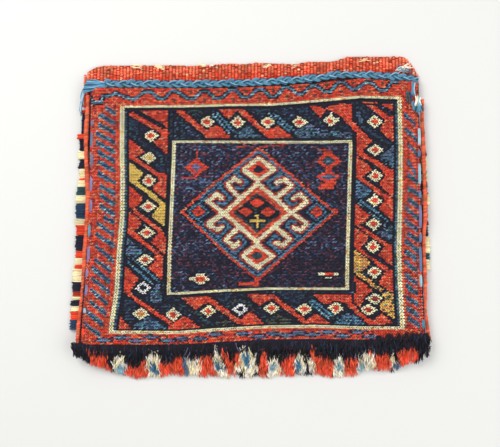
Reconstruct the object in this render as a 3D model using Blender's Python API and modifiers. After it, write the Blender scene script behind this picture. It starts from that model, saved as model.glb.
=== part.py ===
"""Small hand-woven wool bag, lying flat on its back with its mouth towards +Y.

One woven strip is folded at the bottom into a back and a front panel. The front is worked in
coloured wrapping yarns laid over the strip, its bottom edge carries knotted pile, a plaited cord
edges its mouth, and the sides are closed with wrapped cords, running stitches and overcasting.
Metres, +Z up. The origin is the centre of the underside of the whole bag.
"""
import math

import bpy
import bmesh
import numpy as np

# Front panel, measured on the bag as it lies
FRONT_WIDTH = 0.2865
FRONT_HEIGHT = 0.233
BACK_LEFT_EXTRA = 0.0045
BACK_RIGHT_EXTRA = 0.0002
BACK_BEYOND_MOUTH = 0.020
CLOTH_THICKNESS = 0.0025
POCKET_DEPTH = 0.006
SIDE_DROP_WIDTH = 0.008
CORNER_ROUNDING = 0.007

# Working clearance between pieces that lie against each other
CLEARANCE = 0.0003
SEAM_CLEARANCE = 0.0009

# How the hand weaving pulls the panel out of square, in this unit. Row pulls go up the bag, from
# the fold to the mouth, at stations across it. Column pulls go to the right, from the left side to
# the right side, at stations up it. Lines and stations are shares of half the width and height.
PULL = 0.001
ROW_LINES = (-1, -0.818, -0.543, 0, 0.555, 0.859, 1)
ROW_STATIONS = (-1, -0.70, -0.42, -0.17, 0.10, 0.38, 0.63, 1)
ROW_PULLS = (
    (-2.3, -2.3, -2.5, 0.0, 2.2, 2.5, 2.4, 2.2),
    (-2.0, -2.2, -2.5, 0.2, 2.2, 2.6, 1.4, 1.1),
    (-2.3, -2.4, -2.0, 0.3, 2.1, 2.0, 1.9, 1.9),
    (0.0, 0.0, 0.0, 0.0, 0.0, 0.0, 0.0, 0.0),
    (-0.5, -0.3, 0.3, 0.0, -0.3, -0.3, 0.7, 0.5),
    (-4.2, -4.3, -4.1, -2.9, -2.5, 1.1, 4.6, 2.9),
    (-3.7, -3.8, -4.2, -4.0, -2.4, 0.6, 4.4, 1.5))
COLUMN_LINES = (-1, -0.79, -0.483, 0.56, 0.868, 1)
COLUMN_STATIONS = (-1, -0.77, -0.515, -0.26, 0, 0.26, 0.515, 0.77, 1)
COLUMN_PULLS = (
    (-3.5, -3.0, -1.6, -0.4, 0.0, 0.0, 0.0, 0.0, 0.0),
    (-7.8, -7.2, -3.1, -1.8, 0.4, 0.0, -1.2, -1.5, -1.6),
    (-3.5, -3.5, -3.4, -3.1, -2.1, -1.1, -0.3, -0.2, 0.0),
    (-2.4, -2.4, -2.5, -1.6, -0.3, 1.0, 2.3, 2.3, 2.3),
    (-0.5, -0.6, -1.8, -2.2, -0.7, 0.6, 1.4, 1.3, 1.2),
    (0.8, 0.0, -0.6, -0.8, 0.0, 0.0, 0.0, 0.0, 0.0))

# Wrapping yarns on the front: ground thickness and what a figure stands proud of it
YARN_GROUND = 0.0006
YARN_RELIEF = 0.0005
RELIEF_ROOT = 0.0002
OUTLINE_STEP = 0.012
STRAIGHT_WITHIN = 0.00012
WELD = 0.00001

# Pattern frames: distance of each from the front's edges, and their widths
LEFT_BAND_MARGIN = 0.0045
RIGHT_BAND_MARGIN = 0.0034
LEFT_BAND_WIDTH = 0.0225
RIGHT_BAND_WIDTH = 0.0125
TOP_BAND_WIDTH = 0.0133
TOP_BAND_MARGIN = 0.001
BOTTOM_BAND_WIDTH = 0.0077
OUTER_GUARD_SIDE_WIDTH = 0.0042
OUTER_GUARD_END_WIDTH = 0.0024
BORDER_SIDE_WIDTH = 0.0385
BORDER_TOP_WIDTH = 0.0313
BORDER_BOTTOM_WIDTH = 0.0279
INNER_GUARD_SIDE_WIDTH = 0.0033
INNER_GUARD_END_WIDTH = 0.0022

# Figures in the bands
POLE_BAR_PITCH = 0.0087
POLE_BAR_WIDTH = 0.0032
LEFT_BAR_LENGTH = 0.013
RIGHT_BAR_LENGTH = 0.0095
POLE_BAR_FALL = 0.0065
WAVE_PITCH = 0.0235
WAVE_HEIGHT = 0.006
WAVE_LINE = 0.0018
LOZENGE_PITCH = 0.0135
LOZENGE_LENGTH = 0.0085
LOZENGE_HEIGHT = 0.003
BORDER_DIAMOND_LENGTH = 0.0135
BORDER_DIAMOND_HEIGHT = 0.011
BORDER_DIAMOND_RING = 0.0023
COLUMN_DIAMOND_PITCH = 0.0215
ROW_DIAMOND_PITCH = 0.0270
COLUMN_STEP_BACK = 0.0105
BOTTOM_ROW_INSETS = (0.60, 0.85)
TOP_ROW_INSETS = (1.32, 1.0)
FIGURE_REACH = 1.28
FIGURE_CORNERS = ((-1, FIGURE_REACH), (-0.22, 0.80), (-0.52, 0.49), (1, -0.59))
FIGURE_MARGIN = 0.0022
FIELD_DIAMOND_LENGTH = 0.017
LEFT_MOTIF_PLACE = (2.1, 2.3)
RIGHT_MOTIF_PLACES = ((1.9, 1.7), (1.9, 3.55))
RIGHT_MOTIF_SIZE = 0.9
CROSS_LENGTH = 0.016
CROSS_INSETS = (1.4, 0.85)
CROSS_RISE = 0.62

# Medallion, from its centre
MEDALLION_OFFSET_X = -0.0012
MEDALLION_OFFSET_Y = 0.0015
MEDALLION_SIDE_MARGIN = 0.0055
MEDALLION_END_MARGIN = 0.0022
MEDALLION_LINE = 0.0023
MEDALLION_BAND = 0.0032
HOOK_LINE = 0.0034
HOOK_DIAMOND_SHARE = 0.563
HOOKS = (((-0.50, 0.45), (-0.87, 0.87), (-0.67, 1.09), (-0.51, 0.98)),
         ((-0.93, 0.0), (-1.39, 0.35), (-1.14, 0.57), (-1.0, 0.46)))
CREST_WIDTH_SHARE = 0.52
CREST_HEIGHT_SHARE = 0.46
CENTRE_RING = 0.0026
FLOWER_SIZE = 0.0095
FLOWER_DROP = 0.75
FLOWER_ARM = 0.38

# Cords and side stitching
MOUTH_CORD_DIAMETER = 0.0056
MOUTH_CORD_PROUD = 0.0006
CORD_STATIONS = 22
CORD_END_LENGTH = 0.019
CORD_END_SPREAD = 1.6
CORD_END_ROUNDING = 0.3
CORD_TAIL_LENGTH = 0.026
CORD_TAIL_WIDTH = 0.006
SIDE_CORD_DIAMETER = 0.0046
SIDE_CORD_STATIONS = 14
ROUND_STEPS = 2
SHARP_ANGLE = math.radians(50)
SEAM_THREAD_DIAMETER = 0.002
SEAM_STITCH_PITCH = 0.0155
SEAM_STITCH_LIFT = 0.0006

# Overcast blocks along the back's sides
LEFT_BLOCK_WIDTH = 0.0062
RIGHT_BLOCK_WIDTH = 0.0055
BLOCK_PROUD = 0.0010
BLOCK_EDGE = 0.0009
LEFT_BLOCKS = 10
RIGHT_BLOCKS = 4
LEFT_BLOCKS_FROM_FOLD = 0.026
LEFT_BLOCKS_FROM_MOUTH = 0.022
RIGHT_BLOCKS_FROM_FOLD = 0.082
RIGHT_BLOCKS_FROM_MOUTH = 0.056

# Knotted pile at the bottom edge
PILE_TOP = 0.0105
PILE_PROUD = 0.0028
PILE_THICKNESS = 0.0035
PILE_TIP_LENGTH = 0.0118
PILE_TIP_HEIGHT = 0.0085
PILE_WAVE = 0.0008
PILE_STATIONS = 19
PILE_SHOULDER = 0.7
PILE_UNDERSIDE = 0.92
PILE_OUTER_TURNS = (75, 50, 25, 0, -25)
PILE_INNER_TURNS = (-30, 0, 30, 60, 90)
TUFT_EDGE = 0.0016
TUFT_TAPER = 0.3
TUFT_END_MARGIN = 0.0085
TUFT_PARTS = (17, 11, 16, 12, 18, 14, 11, 12, 8, 14, 9, 12, 10, 12, 23, 8, 14, 14, 21)

RED = (0.60, 0.055, 0.028)
IVORY = (0.87, 0.76, 0.47)
NAVY = (0.013, 0.018, 0.045)
BLUE = (0.09, 0.21, 0.32)
LIGHT_BLUE = (0.20, 0.37, 0.50)
GOLD = (0.62, 0.42, 0.10)

BACK_MID = CLOTH_THICKNESS / 2
FRONT_MID = BACK_MID + CLOTH_THICKNESS + POCKET_DEPTH
FRONT_TOP = FRONT_MID + CLOTH_THICKNESS / 2
GROUND_BASE = FRONT_TOP + CLEARANCE
GROUND_TOP = GROUND_BASE + YARN_GROUND
RELIEF_TOP = GROUND_TOP + YARN_RELIEF
FOLD_RADIUS = (FRONT_MID - BACK_MID) / 2
BLOCK_HEIGHT = CLOTH_THICKNESS + BLOCK_PROUD
SIDE_CORD_HEIGHT = BLOCK_HEIGHT + 2 * CLEARANCE + SIDE_CORD_DIAMETER / 2
SIDE_DROP = FRONT_MID - SIDE_CORD_HEIGHT
HALF_WIDTH = FRONT_WIDTH / 2
MOUTH_Y = FRONT_HEIGHT / 2
BOTTOM_Y = -FRONT_HEIGHT / 2
FOLD_CENTRE_Y = BOTTOM_Y + FOLD_RADIUS + CLOTH_THICKNESS / 2
PILE_LINE_Y = BOTTOM_Y + PILE_TOP

# Edges of the pattern frames, as (left, right, bottom, top)
SIDE_BANDS_X = (-HALF_WIDTH + LEFT_BAND_MARGIN, HALF_WIDTH - RIGHT_BAND_MARGIN)
BANDS_Y = (PILE_LINE_Y + SEAM_CLEARANCE, MOUTH_Y - TOP_BAND_MARGIN)
OUTER_GUARD = (SIDE_BANDS_X[0] + LEFT_BAND_WIDTH + SEAM_CLEARANCE,
               SIDE_BANDS_X[1] - RIGHT_BAND_WIDTH - SEAM_CLEARANCE,
               BANDS_Y[0] + BOTTOM_BAND_WIDTH + SEAM_CLEARANCE,
               BANDS_Y[1] - TOP_BAND_WIDTH - SEAM_CLEARANCE)


def inset(frame, side, bottom_end, top_end):
    """A frame drawn in from another by a distance at the sides and one at each end."""
    left, right, bottom, top = frame
    return left + side, right - side, bottom + bottom_end, top - top_end


OUTER_GUARD_INSIDE = inset(OUTER_GUARD, OUTER_GUARD_SIDE_WIDTH, OUTER_GUARD_END_WIDTH,
                           OUTER_GUARD_END_WIDTH)
BORDER = inset(OUTER_GUARD_INSIDE, SEAM_CLEARANCE, SEAM_CLEARANCE, SEAM_CLEARANCE)
BORDER_INSIDE = inset(BORDER, BORDER_SIDE_WIDTH, BORDER_BOTTOM_WIDTH, BORDER_TOP_WIDTH)
INNER_GUARD = inset(BORDER_INSIDE, SEAM_CLEARANCE, SEAM_CLEARANCE, SEAM_CLEARANCE)
INNER_GUARD_INSIDE = inset(INNER_GUARD, INNER_GUARD_SIDE_WIDTH, INNER_GUARD_END_WIDTH,
                           INNER_GUARD_END_WIDTH)
FIELD = inset(INNER_GUARD_INSIDE, SEAM_CLEARANCE, SEAM_CLEARANCE, SEAM_CLEARANCE)
MEDALLION_CENTRE = ((FIELD[0] + FIELD[1]) / 2 + MEDALLION_OFFSET_X,
                    (FIELD[2] + FIELD[3]) / 2 + MEDALLION_OFFSET_Y)
MEDALLION_HALF_WIDTH = (FIELD[1] - FIELD[0]) / 2 - abs(MEDALLION_OFFSET_X) - MEDALLION_SIDE_MARGIN
MEDALLION_HALF_HEIGHT = (FIELD[3] - FIELD[2]) / 2 - abs(MEDALLION_OFFSET_Y) - MEDALLION_END_MARGIN


def clear_scene():
    """Remove what the scene starts with."""
    for item in list(bpy.data.objects):
        bpy.data.objects.remove(item, do_unlink=True)


def collection(name):
    """A new collection in the scene."""
    made = bpy.data.collections.new(name)
    bpy.context.scene.collection.children.link(made)
    return made


clear_scene()
BAG = collection("vanity_bag")
CUTTERS = collection("joined_shapes")


def wool(name, colour, roughness=0.9):
    """A matt wool material."""
    made = bpy.data.materials.get(name)
    if made:
        return made
    made = bpy.data.materials.new(name)
    made.use_nodes = True
    shader = made.node_tree.nodes["Principled BSDF"]
    shader.inputs["Base Color"].default_value = (*colour, 1)
    shader.inputs["Roughness"].default_value = roughness
    shader.inputs["Metallic"].default_value = 0
    return made


def smooth(value):
    """Ease from 0 to 1."""
    value = min(max(value, 0), 1)
    return value * value * (3 - 2 * value)


def pulled(line, station, lines, stations, table):
    """Pull at a place, between the pulls that the table gives on each line."""
    on_lines = [np.interp(station, stations, pulls) for pulls in table]
    return PULL * float(np.interp(line, lines, on_lines))


def woven(x, y):
    """Move a point of the square layout to where the hand weaving puts it."""
    across, upward = x / HALF_WIDTH, y / MOUTH_Y
    return (x + pulled(across, upward, COLUMN_LINES, COLUMN_STATIONS, COLUMN_PULLS),
            y + pulled(upward, across, ROW_LINES, ROW_STATIONS, ROW_PULLS))


def as_woven(points):
    """A closed outline as the weave pulls it: long edges are divided, and only bends are kept."""
    placed = []
    for start, end in zip(points, points[1:] + points[:1]):
        count = max(1, math.ceil(math.dist(start, end) / OUTLINE_STEP))
        for step in range(count):
            share = step / count
            placed.append(woven(start[0] + (end[0] - start[0]) * share,
                                start[1] + (end[1] - start[1]) * share))
    kept = []
    for number, point in enumerate(placed):
        before = kept[-1] if kept else placed[-1]
        after = placed[(number + 1) % len(placed)]
        run = (after[0] - before[0], after[1] - before[1])
        cross = run[0] * (point[1] - before[1]) - run[1] * (point[0] - before[0])
        if abs(cross) > STRAIGHT_WITHIN * math.hypot(*run):
            kept.append(point)
    return kept


def as_mesh(item, material, home):
    """Replace an object by its evaluated mesh, welded, in the given collection."""
    bpy.context.view_layer.update()
    graph = bpy.context.evaluated_depsgraph_get()
    mesh = bpy.data.meshes.new_from_object(item.evaluated_get(graph))
    name = item.name
    place = item.matrix_world.copy()
    bpy.data.objects.remove(item, do_unlink=True)
    welded = bmesh.new()
    welded.from_mesh(mesh)
    bmesh.ops.remove_doubles(welded, verts=welded.verts, dist=WELD)
    bmesh.ops.recalc_face_normals(welded, faces=welded.faces)
    welded.to_mesh(mesh)
    welded.free()
    mesh.materials.clear()
    mesh.materials.append(material)
    made = bpy.data.objects.new(name, mesh)
    made.matrix_world = place
    home.objects.link(made)
    return made


def sheet_shape(name, outlines, low, high, material, home=None):
    """Flat shape between two heights; outlines inside another are holes in it."""
    home = home or BAG
    curve = bpy.data.curves.new(name, "CURVE")
    curve.dimensions = "2D"
    curve.fill_mode = "BOTH"
    curve.extrude = (high - low) / 2
    for outline in outlines:
        points = as_woven(outline)
        spline = curve.splines.new("POLY")
        spline.points.add(len(points) - 1)
        for point, (x, y) in zip(spline.points, points):
            point.co = (x, y, 0, 1)
        spline.use_cyclic_u = True
    item = bpy.data.objects.new(name, curve)
    item.location.z = (high + low) / 2
    home.objects.link(item)
    return as_mesh(item, material, home)


def joined(body, shapes):
    """Fuse shapes into a body with an exact union."""
    for shape in shapes:
        shape.hide_render = True
        shape.display_type = "WIRE"
        union = body.modifiers.new("join_" + shape.name, "BOOLEAN")
        union.operation = "UNION"
        union.solver = "EXACT"
        union.object = shape
    return body


def relief(body, outlines):
    """Fuse raised figures into a ground."""
    shape = sheet_shape(body.name + "_figures", outlines, GROUND_TOP - RELIEF_ROOT, RELIEF_TOP,
                        body.data.materials[0], CUTTERS)
    return joined(body, [shape])


def box(frame):
    """Corners of a frame, anticlockwise."""
    left, right, bottom, top = frame
    return [(left, bottom), (right, bottom), (right, top), (left, top)]


def diamond(centre, half_width, half_height):
    """Corners of an upright diamond."""
    x, y = centre
    return [(x - half_width, y), (x, y - half_height), (x + half_width, y), (x, y + half_height)]


def drawn_in(half_width, half_height, distance):
    """Half sizes of the diamond that lies a distance inside another."""
    share = 1 - distance * math.hypot(half_width, half_height) / (half_width * half_height)
    return half_width * share, half_height * share


def diamond_ring(centre, half_width, half_height, width):
    """Outer and inner outline of a diamond ring."""
    return [diamond(centre, half_width, half_height),
            diamond(centre, *drawn_in(half_width, half_height, width))]


def ribbon(points, width):
    """Closed outline of a line of a width, with mitred corners."""
    line = np.array(points)
    run = np.diff(line, axis=0)
    run /= np.linalg.norm(run, axis=1)[:, None]
    normal = np.stack([-run[:, 1], run[:, 0]], axis=1)
    first = np.vstack([normal[:1], normal])
    second = np.vstack([normal, normal[-1:]])
    mitre = first + second
    mitre /= (mitre * first).sum(axis=1)[:, None]
    left = line + mitre * width / 2
    right = line - mitre * width / 2
    return [tuple(point) for point in np.vstack([right, left[::-1]])]


def copies(length, pitch):
    """How many places of a pitch fit along a length, ends included."""
    return max(2, round(length / pitch) + 1)


def evenly(start, end, count):
    """Evenly spaced places from a start to an end."""
    if count < 2:
        return [(start + end) / 2]
    return [start + (end - start) * step / (count - 1) for step in range(count)]


def soft_pad(name, centre, size, edge, material, taper=0.0):
    """Block with rounded edges; its -Y end is narrowed and lowered by the taper."""
    mesh = bpy.data.meshes.new(name)
    cage = bmesh.new()
    bmesh.ops.create_cube(cage, size=1)
    for corner in cage.verts:
        narrowing = 1 - taper * (0.5 - corner.co.y)
        height = (corner.co.z + 0.5) * narrowing
        x, y = woven(centre[0] + corner.co.x * size[0] * narrowing, centre[1] + corner.co.y * size[1])
        corner.co = (x, y, centre[2] - size[2] / 2 + height * size[2])
    cage.to_mesh(mesh)
    cage.free()
    item = bpy.data.objects.new(name, mesh)
    item.data.materials.append(material)
    BAG.objects.link(item)
    rounding = item.modifiers.new("rounding", "BEVEL")
    rounding.width = edge
    rounding.segments = ROUND_STEPS
    rounding.limit_method = "NONE"
    mesh.shade_smooth()
    return item


def tube(name, points, diameter, material):
    """Round cord along points that are already in place."""
    curve = bpy.data.curves.new(name, "CURVE")
    curve.dimensions = "3D"
    curve.bevel_depth = diameter / 2
    curve.bevel_resolution = ROUND_STEPS
    curve.use_fill_caps = True
    spline = curve.splines.new("POLY")
    spline.points.add(len(points) - 1)
    for point, place in zip(spline.points, points):
        point.co = (*place, 1)
    item = bpy.data.objects.new(name, curve)
    BAG.objects.link(item)
    made = as_mesh(item, material, BAG)
    made.data.shade_smooth()
    made.data.set_sharp_from_angle(angle=SHARP_ANGLE)
    return made


def side_height(inward):
    """How far the front has come down at a distance in from its side edge."""
    return SIDE_DROP * (1 - smooth(inward / SIDE_DROP_WIDTH))


def woven_cloth():
    """The strip: back panel, round fold at the bottom, front panel."""
    back_rows = 6
    fold_rows = 6
    front_rows = 7
    inner_columns = 10
    shoulder = SIDE_DROP_WIDTH / HALF_WIDTH
    across = [-1, -1 + shoulder / 2] + evenly(-1 + shoulder, 1 - shoulder, inner_columns)
    across += [1 - shoulder / 2, 1]
    rows = back_rows + fold_rows + front_rows
    mesh = bpy.data.meshes.new("woven_cloth")
    cloth = bmesh.new()
    bmesh.ops.create_grid(cloth, x_segments=len(across) - 1, y_segments=rows, size=1)
    for point in cloth.verts:
        column = round((point.co.x + 1) / 2 * (len(across) - 1))
        row = round((point.co.y + 1) / 2 * rows)
        share = across[column]
        inward = (1 - abs(share)) * HALF_WIDTH
        front_mid = FRONT_MID - side_height(inward)
        radius = (front_mid - BACK_MID) / 2
        extra = BACK_LEFT_EXTRA * min(share, 0) + BACK_RIGHT_EXTRA * max(share, 0)
        if row <= back_rows:
            rounding = CORNER_ROUNDING * (1 - smooth(inward / (2 * CORNER_ROUNDING)))
            end = MOUTH_Y + BACK_BEYOND_MOUTH - rounding
            y = end + (FOLD_CENTRE_Y - end) * row / back_rows
            height = BACK_MID
        elif row < back_rows + fold_rows:
            turn = math.pi * (row - back_rows) / fold_rows
            y = FOLD_CENTRE_Y - radius * math.sin(turn)
            height = BACK_MID + radius * (1 - math.cos(turn))
            extra *= (1 + math.cos(turn)) / 2
        else:
            y = FOLD_CENTRE_Y + (MOUTH_Y - FOLD_CENTRE_Y) * (row - back_rows - fold_rows) / front_rows
            height = front_mid
            extra = 0
        x, y = woven(share * HALF_WIDTH + extra, y)
        point.co = (x, y, height)
    bmesh.ops.recalc_face_normals(cloth, faces=cloth.faces)
    cloth.to_mesh(mesh)
    cloth.free()
    mesh.materials.append(wool("navy_wool_cloth", NAVY))
    item = bpy.data.objects.new("woven_cloth", mesh)
    BAG.objects.link(item)
    wall = item.modifiers.new("wall", "SOLIDIFY")
    wall.thickness = CLOTH_THICKNESS
    wall.offset = 0
    return item


def ground(name, outlines, material):
    """One field of wrapping yarn, lying on the front."""
    return sheet_shape(name, outlines, GROUND_BASE, GROUND_TOP, material)


def pole_bars(left, right, length):
    """Slanted bars down a side band."""
    middle = (left + right) / 2
    run = BANDS_Y[1] - BANDS_Y[0] - TOP_BAND_WIDTH - BOTTOM_BAND_WIDTH
    count = max(1, int(run / POLE_BAR_PITCH) - 1)
    centre_y = (OUTER_GUARD[2] + OUTER_GUARD[3]) / 2
    bars = []
    for step in range(count):
        y = centre_y + (step - (count - 1) / 2) * POLE_BAR_PITCH
        half = length / 2
        rise = POLE_BAR_FALL / 2
        thick = POLE_BAR_WIDTH / 2
        bars.append([(middle - half, y + rise - thick), (middle + half, y - rise - thick),
                     (middle + half, y - rise + thick), (middle - half, y + rise + thick)])
    return bars


def side_bands():
    """Left and right bands with their slanted bars."""
    red = wool("red_wrapping_yarn", RED)
    left = (SIDE_BANDS_X[0], SIDE_BANDS_X[0] + LEFT_BAND_WIDTH)
    right = (SIDE_BANDS_X[1] - RIGHT_BAND_WIDTH, SIDE_BANDS_X[1])
    bottom = BANDS_Y[0] + BOTTOM_BAND_WIDTH + SEAM_CLEARANCE
    top = BANDS_Y[1] - TOP_BAND_WIDTH - SEAM_CLEARANCE
    for name, edges, length in (("left_side_band", left, LEFT_BAR_LENGTH),
                                ("right_side_band", right, RIGHT_BAR_LENGTH)):
        body = ground(name, [box((*edges, bottom, top))], red)
        relief(body, pole_bars(*edges, length))


def top_band():
    """Band under the mouth with its zig-zag line."""
    frame = (*SIDE_BANDS_X, BANDS_Y[1] - TOP_BAND_WIDTH, BANDS_Y[1])
    body = ground("top_band", [box(frame)], wool("red_wrapping_yarn", RED))
    middle = (frame[2] + frame[3]) / 2
    count = int((frame[1] - frame[0]) / WAVE_PITCH * 2) - 1
    start = (frame[0] + frame[1]) / 2 - count * WAVE_PITCH / 4
    line = [(start + step * WAVE_PITCH / 2, middle + (step % 2 - 0.5) * WAVE_HEIGHT)
            for step in range(count + 1)]
    relief(body, [ribbon(line, WAVE_LINE)])


def bottom_band():
    """Band above the pile with its chain of lozenges."""
    frame = (*SIDE_BANDS_X, BANDS_Y[0], BANDS_Y[0] + BOTTOM_BAND_WIDTH)
    body = ground("bottom_band", [box(frame)], wool("red_wrapping_yarn", RED))
    middle = (frame[2] + frame[3]) / 2
    count = int((frame[1] - frame[0]) / LOZENGE_PITCH) - 1
    shapes = []
    for step in range(count):
        x = (frame[0] + frame[1]) / 2 + (step - (count - 1) / 2) * LOZENGE_PITCH
        y = middle + (step % 2 - 0.5) * LOZENGE_HEIGHT / 2
        shapes.append(diamond((x, y), LOZENGE_LENGTH / 2, LOZENGE_HEIGHT / 2))
    relief(body, shapes)


def guards():
    """The two ivory guard frames."""
    ivory = wool("ivory_wrapping_yarn", IVORY)
    ground("outer_guard", [box(OUTER_GUARD), box(OUTER_GUARD_INSIDE)], ivory)
    ground("inner_guard", [box(INNER_GUARD), box(INNER_GUARD_INSIDE)], ivory)


def z_figure(centre, reach, pitch, upright):
    """A triangle, a falling bar and a triangle, as one outline between two border diamonds."""
    turned = [(turn * x, turn * y) for turn in (1, -1) for x, y in FIGURE_CORNERS]
    outline = [(x * reach, y * pitch) for x, y in turned]
    if not upright:
        outline = [(-y, -x) for x, y in outline]
    return [(centre[0] + x, centre[1] + y) for x, y in outline]


def figures_between(places, low, high):
    """Middles between neighbouring diamonds where a whole figure fits between two ends."""
    pitch = (places[-1] - places[0]) / (len(places) - 1)
    reach = FIGURE_REACH * pitch
    middles = [(first + second) / 2 for first, second in zip(places, places[1:])]
    return pitch, [middle for middle in middles if low + reach < middle < high - reach]


def border_field():
    """Ground between the guards with its rows of small diamonds and the figures between them."""
    left = (BORDER[0] + BORDER_INSIDE[0]) / 2
    right = (BORDER[1] + BORDER_INSIDE[1]) / 2
    bottom = (BORDER[2] + BORDER_INSIDE[2]) / 2
    top = (BORDER[3] + BORDER_INSIDE[3]) / 2
    column = top - bottom - COLUMN_STEP_BACK
    column_count = copies(column, COLUMN_DIAMOND_PITCH)
    left_y = evenly(bottom, bottom + column, column_count)
    right_y = evenly(top - column, top, column_count)
    rows = []
    for start, end in (BOTTOM_ROW_INSETS, TOP_ROW_INSETS):
        ends = (left + BORDER_SIDE_WIDTH * start, right - BORDER_SIDE_WIDTH * end)
        rows.append(evenly(*ends, copies(ends[1] - ends[0], ROW_DIAMOND_PITCH)))
    bottom_x, top_x = rows
    places = [(left, y) for y in left_y] + [(right, y) for y in right_y]
    places += [(x, bottom) for x in bottom_x] + [(x, top) for x in top_x]
    shapes = []
    for place in places:
        shapes += diamond_ring(place, BORDER_DIAMOND_LENGTH / 2, BORDER_DIAMOND_HEIGHT / 2,
                               BORDER_DIAMOND_RING)
    side_reach = BORDER_SIDE_WIDTH / 2 - FIGURE_MARGIN
    end_reach = BORDER_BOTTOM_WIDTH / 2 - FIGURE_MARGIN
    for x, places in ((left, left_y), (right, right_y)):
        pitch, middles = figures_between(places, BORDER[2], BORDER[3])
        shapes += [z_figure((x, y), side_reach, pitch, True) for y in middles]
    for y, places in ((bottom, bottom_x), (top, top_x)):
        pitch, middles = figures_between(places, left + side_reach, right - side_reach)
        shapes += [z_figure((x, y), end_reach, pitch, False) for x in middles]
    body = ground("border_field", [box(BORDER), box(BORDER_INSIDE)], wool("navy_wrapping_yarn", NAVY))
    return relief(body, shapes)


def field():
    """Centre ground around the medallion, with its small motifs."""
    ring = diamond(MEDALLION_CENTRE, MEDALLION_HALF_WIDTH + SEAM_CLEARANCE,
                   MEDALLION_HALF_HEIGHT + SEAM_CLEARANCE)
    body = ground("centre_field", [box(FIELD), ring], wool("navy_wrapping_yarn", NAVY))
    left, right, bottom, top = FIELD
    half = FIELD_DIAMOND_LENGTH / 2
    ring_width = BORDER_DIAMOND_RING
    place = (left + LEFT_MOTIF_PLACE[0] * half, top - LEFT_MOTIF_PLACE[1] * half)
    shapes = diamond_ring(place, half, half, ring_width)
    smaller = half * RIGHT_MOTIF_SIZE
    for inward, down in RIGHT_MOTIF_PLACES:
        shapes += diamond_ring((right - inward * half, top - down * half), smaller, smaller, ring_width)
    for x in (left + CROSS_LENGTH * CROSS_INSETS[0], right - CROSS_LENGTH * CROSS_INSETS[1]):
        shapes.append(diamond((x, bottom + CROSS_LENGTH * CROSS_RISE), CROSS_LENGTH / 2, CROSS_LENGTH / 4))
    return relief(body, shapes)


def hook(points, flip_x, flip_y):
    """One hook of the figure, mirrored to its corner."""
    return ribbon([(MEDALLION_CENTRE[0] + x * flip_x, MEDALLION_CENTRE[1] + y * flip_y)
                   for x, y in points], HOOK_LINE)


def medallion():
    """Diamond lines, ground, hooked figure and centre of the medallion."""
    red = wool("red_wrapping_yarn", RED)
    ivory = wool("ivory_wrapping_yarn", IVORY)
    blue = wool("blue_wrapping_yarn", BLUE)
    wide, high = MEDALLION_HALF_WIDTH, MEDALLION_HALF_HEIGHT
    ground("medallion_outline", diamond_ring(MEDALLION_CENTRE, wide, high, MEDALLION_LINE), red)
    wide, high = drawn_in(wide, high, MEDALLION_LINE + SEAM_CLEARANCE)
    ground("medallion_band", diamond_ring(MEDALLION_CENTRE, wide, high, MEDALLION_BAND), blue)
    wide, high = drawn_in(wide, high, MEDALLION_BAND + SEAM_CLEARANCE)
    ground("medallion_ground", [diamond(MEDALLION_CENTRE, wide, high)],
           wool("navy_wrapping_yarn", NAVY))
    base = GROUND_TOP + CLEARANCE
    peak = base + YARN_RELIEF
    figure_wide, figure_high = wide * HOOK_DIAMOND_SHARE, high * HOOK_DIAMOND_SHARE
    crest_wide, crest_high = figure_wide * CREST_WIDTH_SHARE, figure_high * CREST_HEIGHT_SHARE
    figure = sheet_shape("hooked_figure",
                         diamond_ring(MEDALLION_CENTRE, figure_wide, figure_high, HOOK_LINE),
                         base, peak, ivory)
    arms = []
    for flip_x in (-1, 1):
        for flip_y in (-1, 1):
            for number, shares in enumerate(HOOKS):
                points = [(x * figure_wide, y * figure_high) for x, y in shares]
                label = f"hook_{number}_{flip_x}_{flip_y}".replace("-", "m")
                arms.append(sheet_shape(label, [hook(points, flip_x, flip_y)], base, peak, ivory, CUTTERS))
    for flip_y in (-1, 1):
        crest_y = MEDALLION_CENTRE[1] + flip_y * (figure_high + crest_high - HOOK_LINE)
        ring = diamond_ring((MEDALLION_CENTRE[0], crest_y), crest_wide, crest_high, HOOK_LINE)
        arms.append(sheet_shape(f"crest_{flip_y}".replace("-", "m"), ring, base, peak, ivory, CUTTERS))
    joined(figure, arms)
    wide, high = drawn_in(figure_wide, figure_high, HOOK_LINE + SEAM_CLEARANCE)
    sheet_shape("centre_diamond", diamond_ring(MEDALLION_CENTRE, wide, high, CENTRE_RING), base, peak, red)
    size = FLOWER_SIZE / 2
    x, y = MEDALLION_CENTRE
    y -= FLOWER_SIZE * FLOWER_DROP
    arm = size * FLOWER_ARM
    flower = [(x - size, y - arm), (x - arm, y - arm), (x - arm, y - size), (x + arm, y - size),
              (x + arm, y - arm), (x + size, y - arm), (x + size, y + arm), (x + arm, y + arm),
              (x + arm, y + size), (x - arm, y + size), (x - arm, y + arm), (x - size, y + arm)]
    sheet_shape("centre_flower", [flower], base, peak, wool("gold_wrapping_yarn", GOLD))


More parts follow.
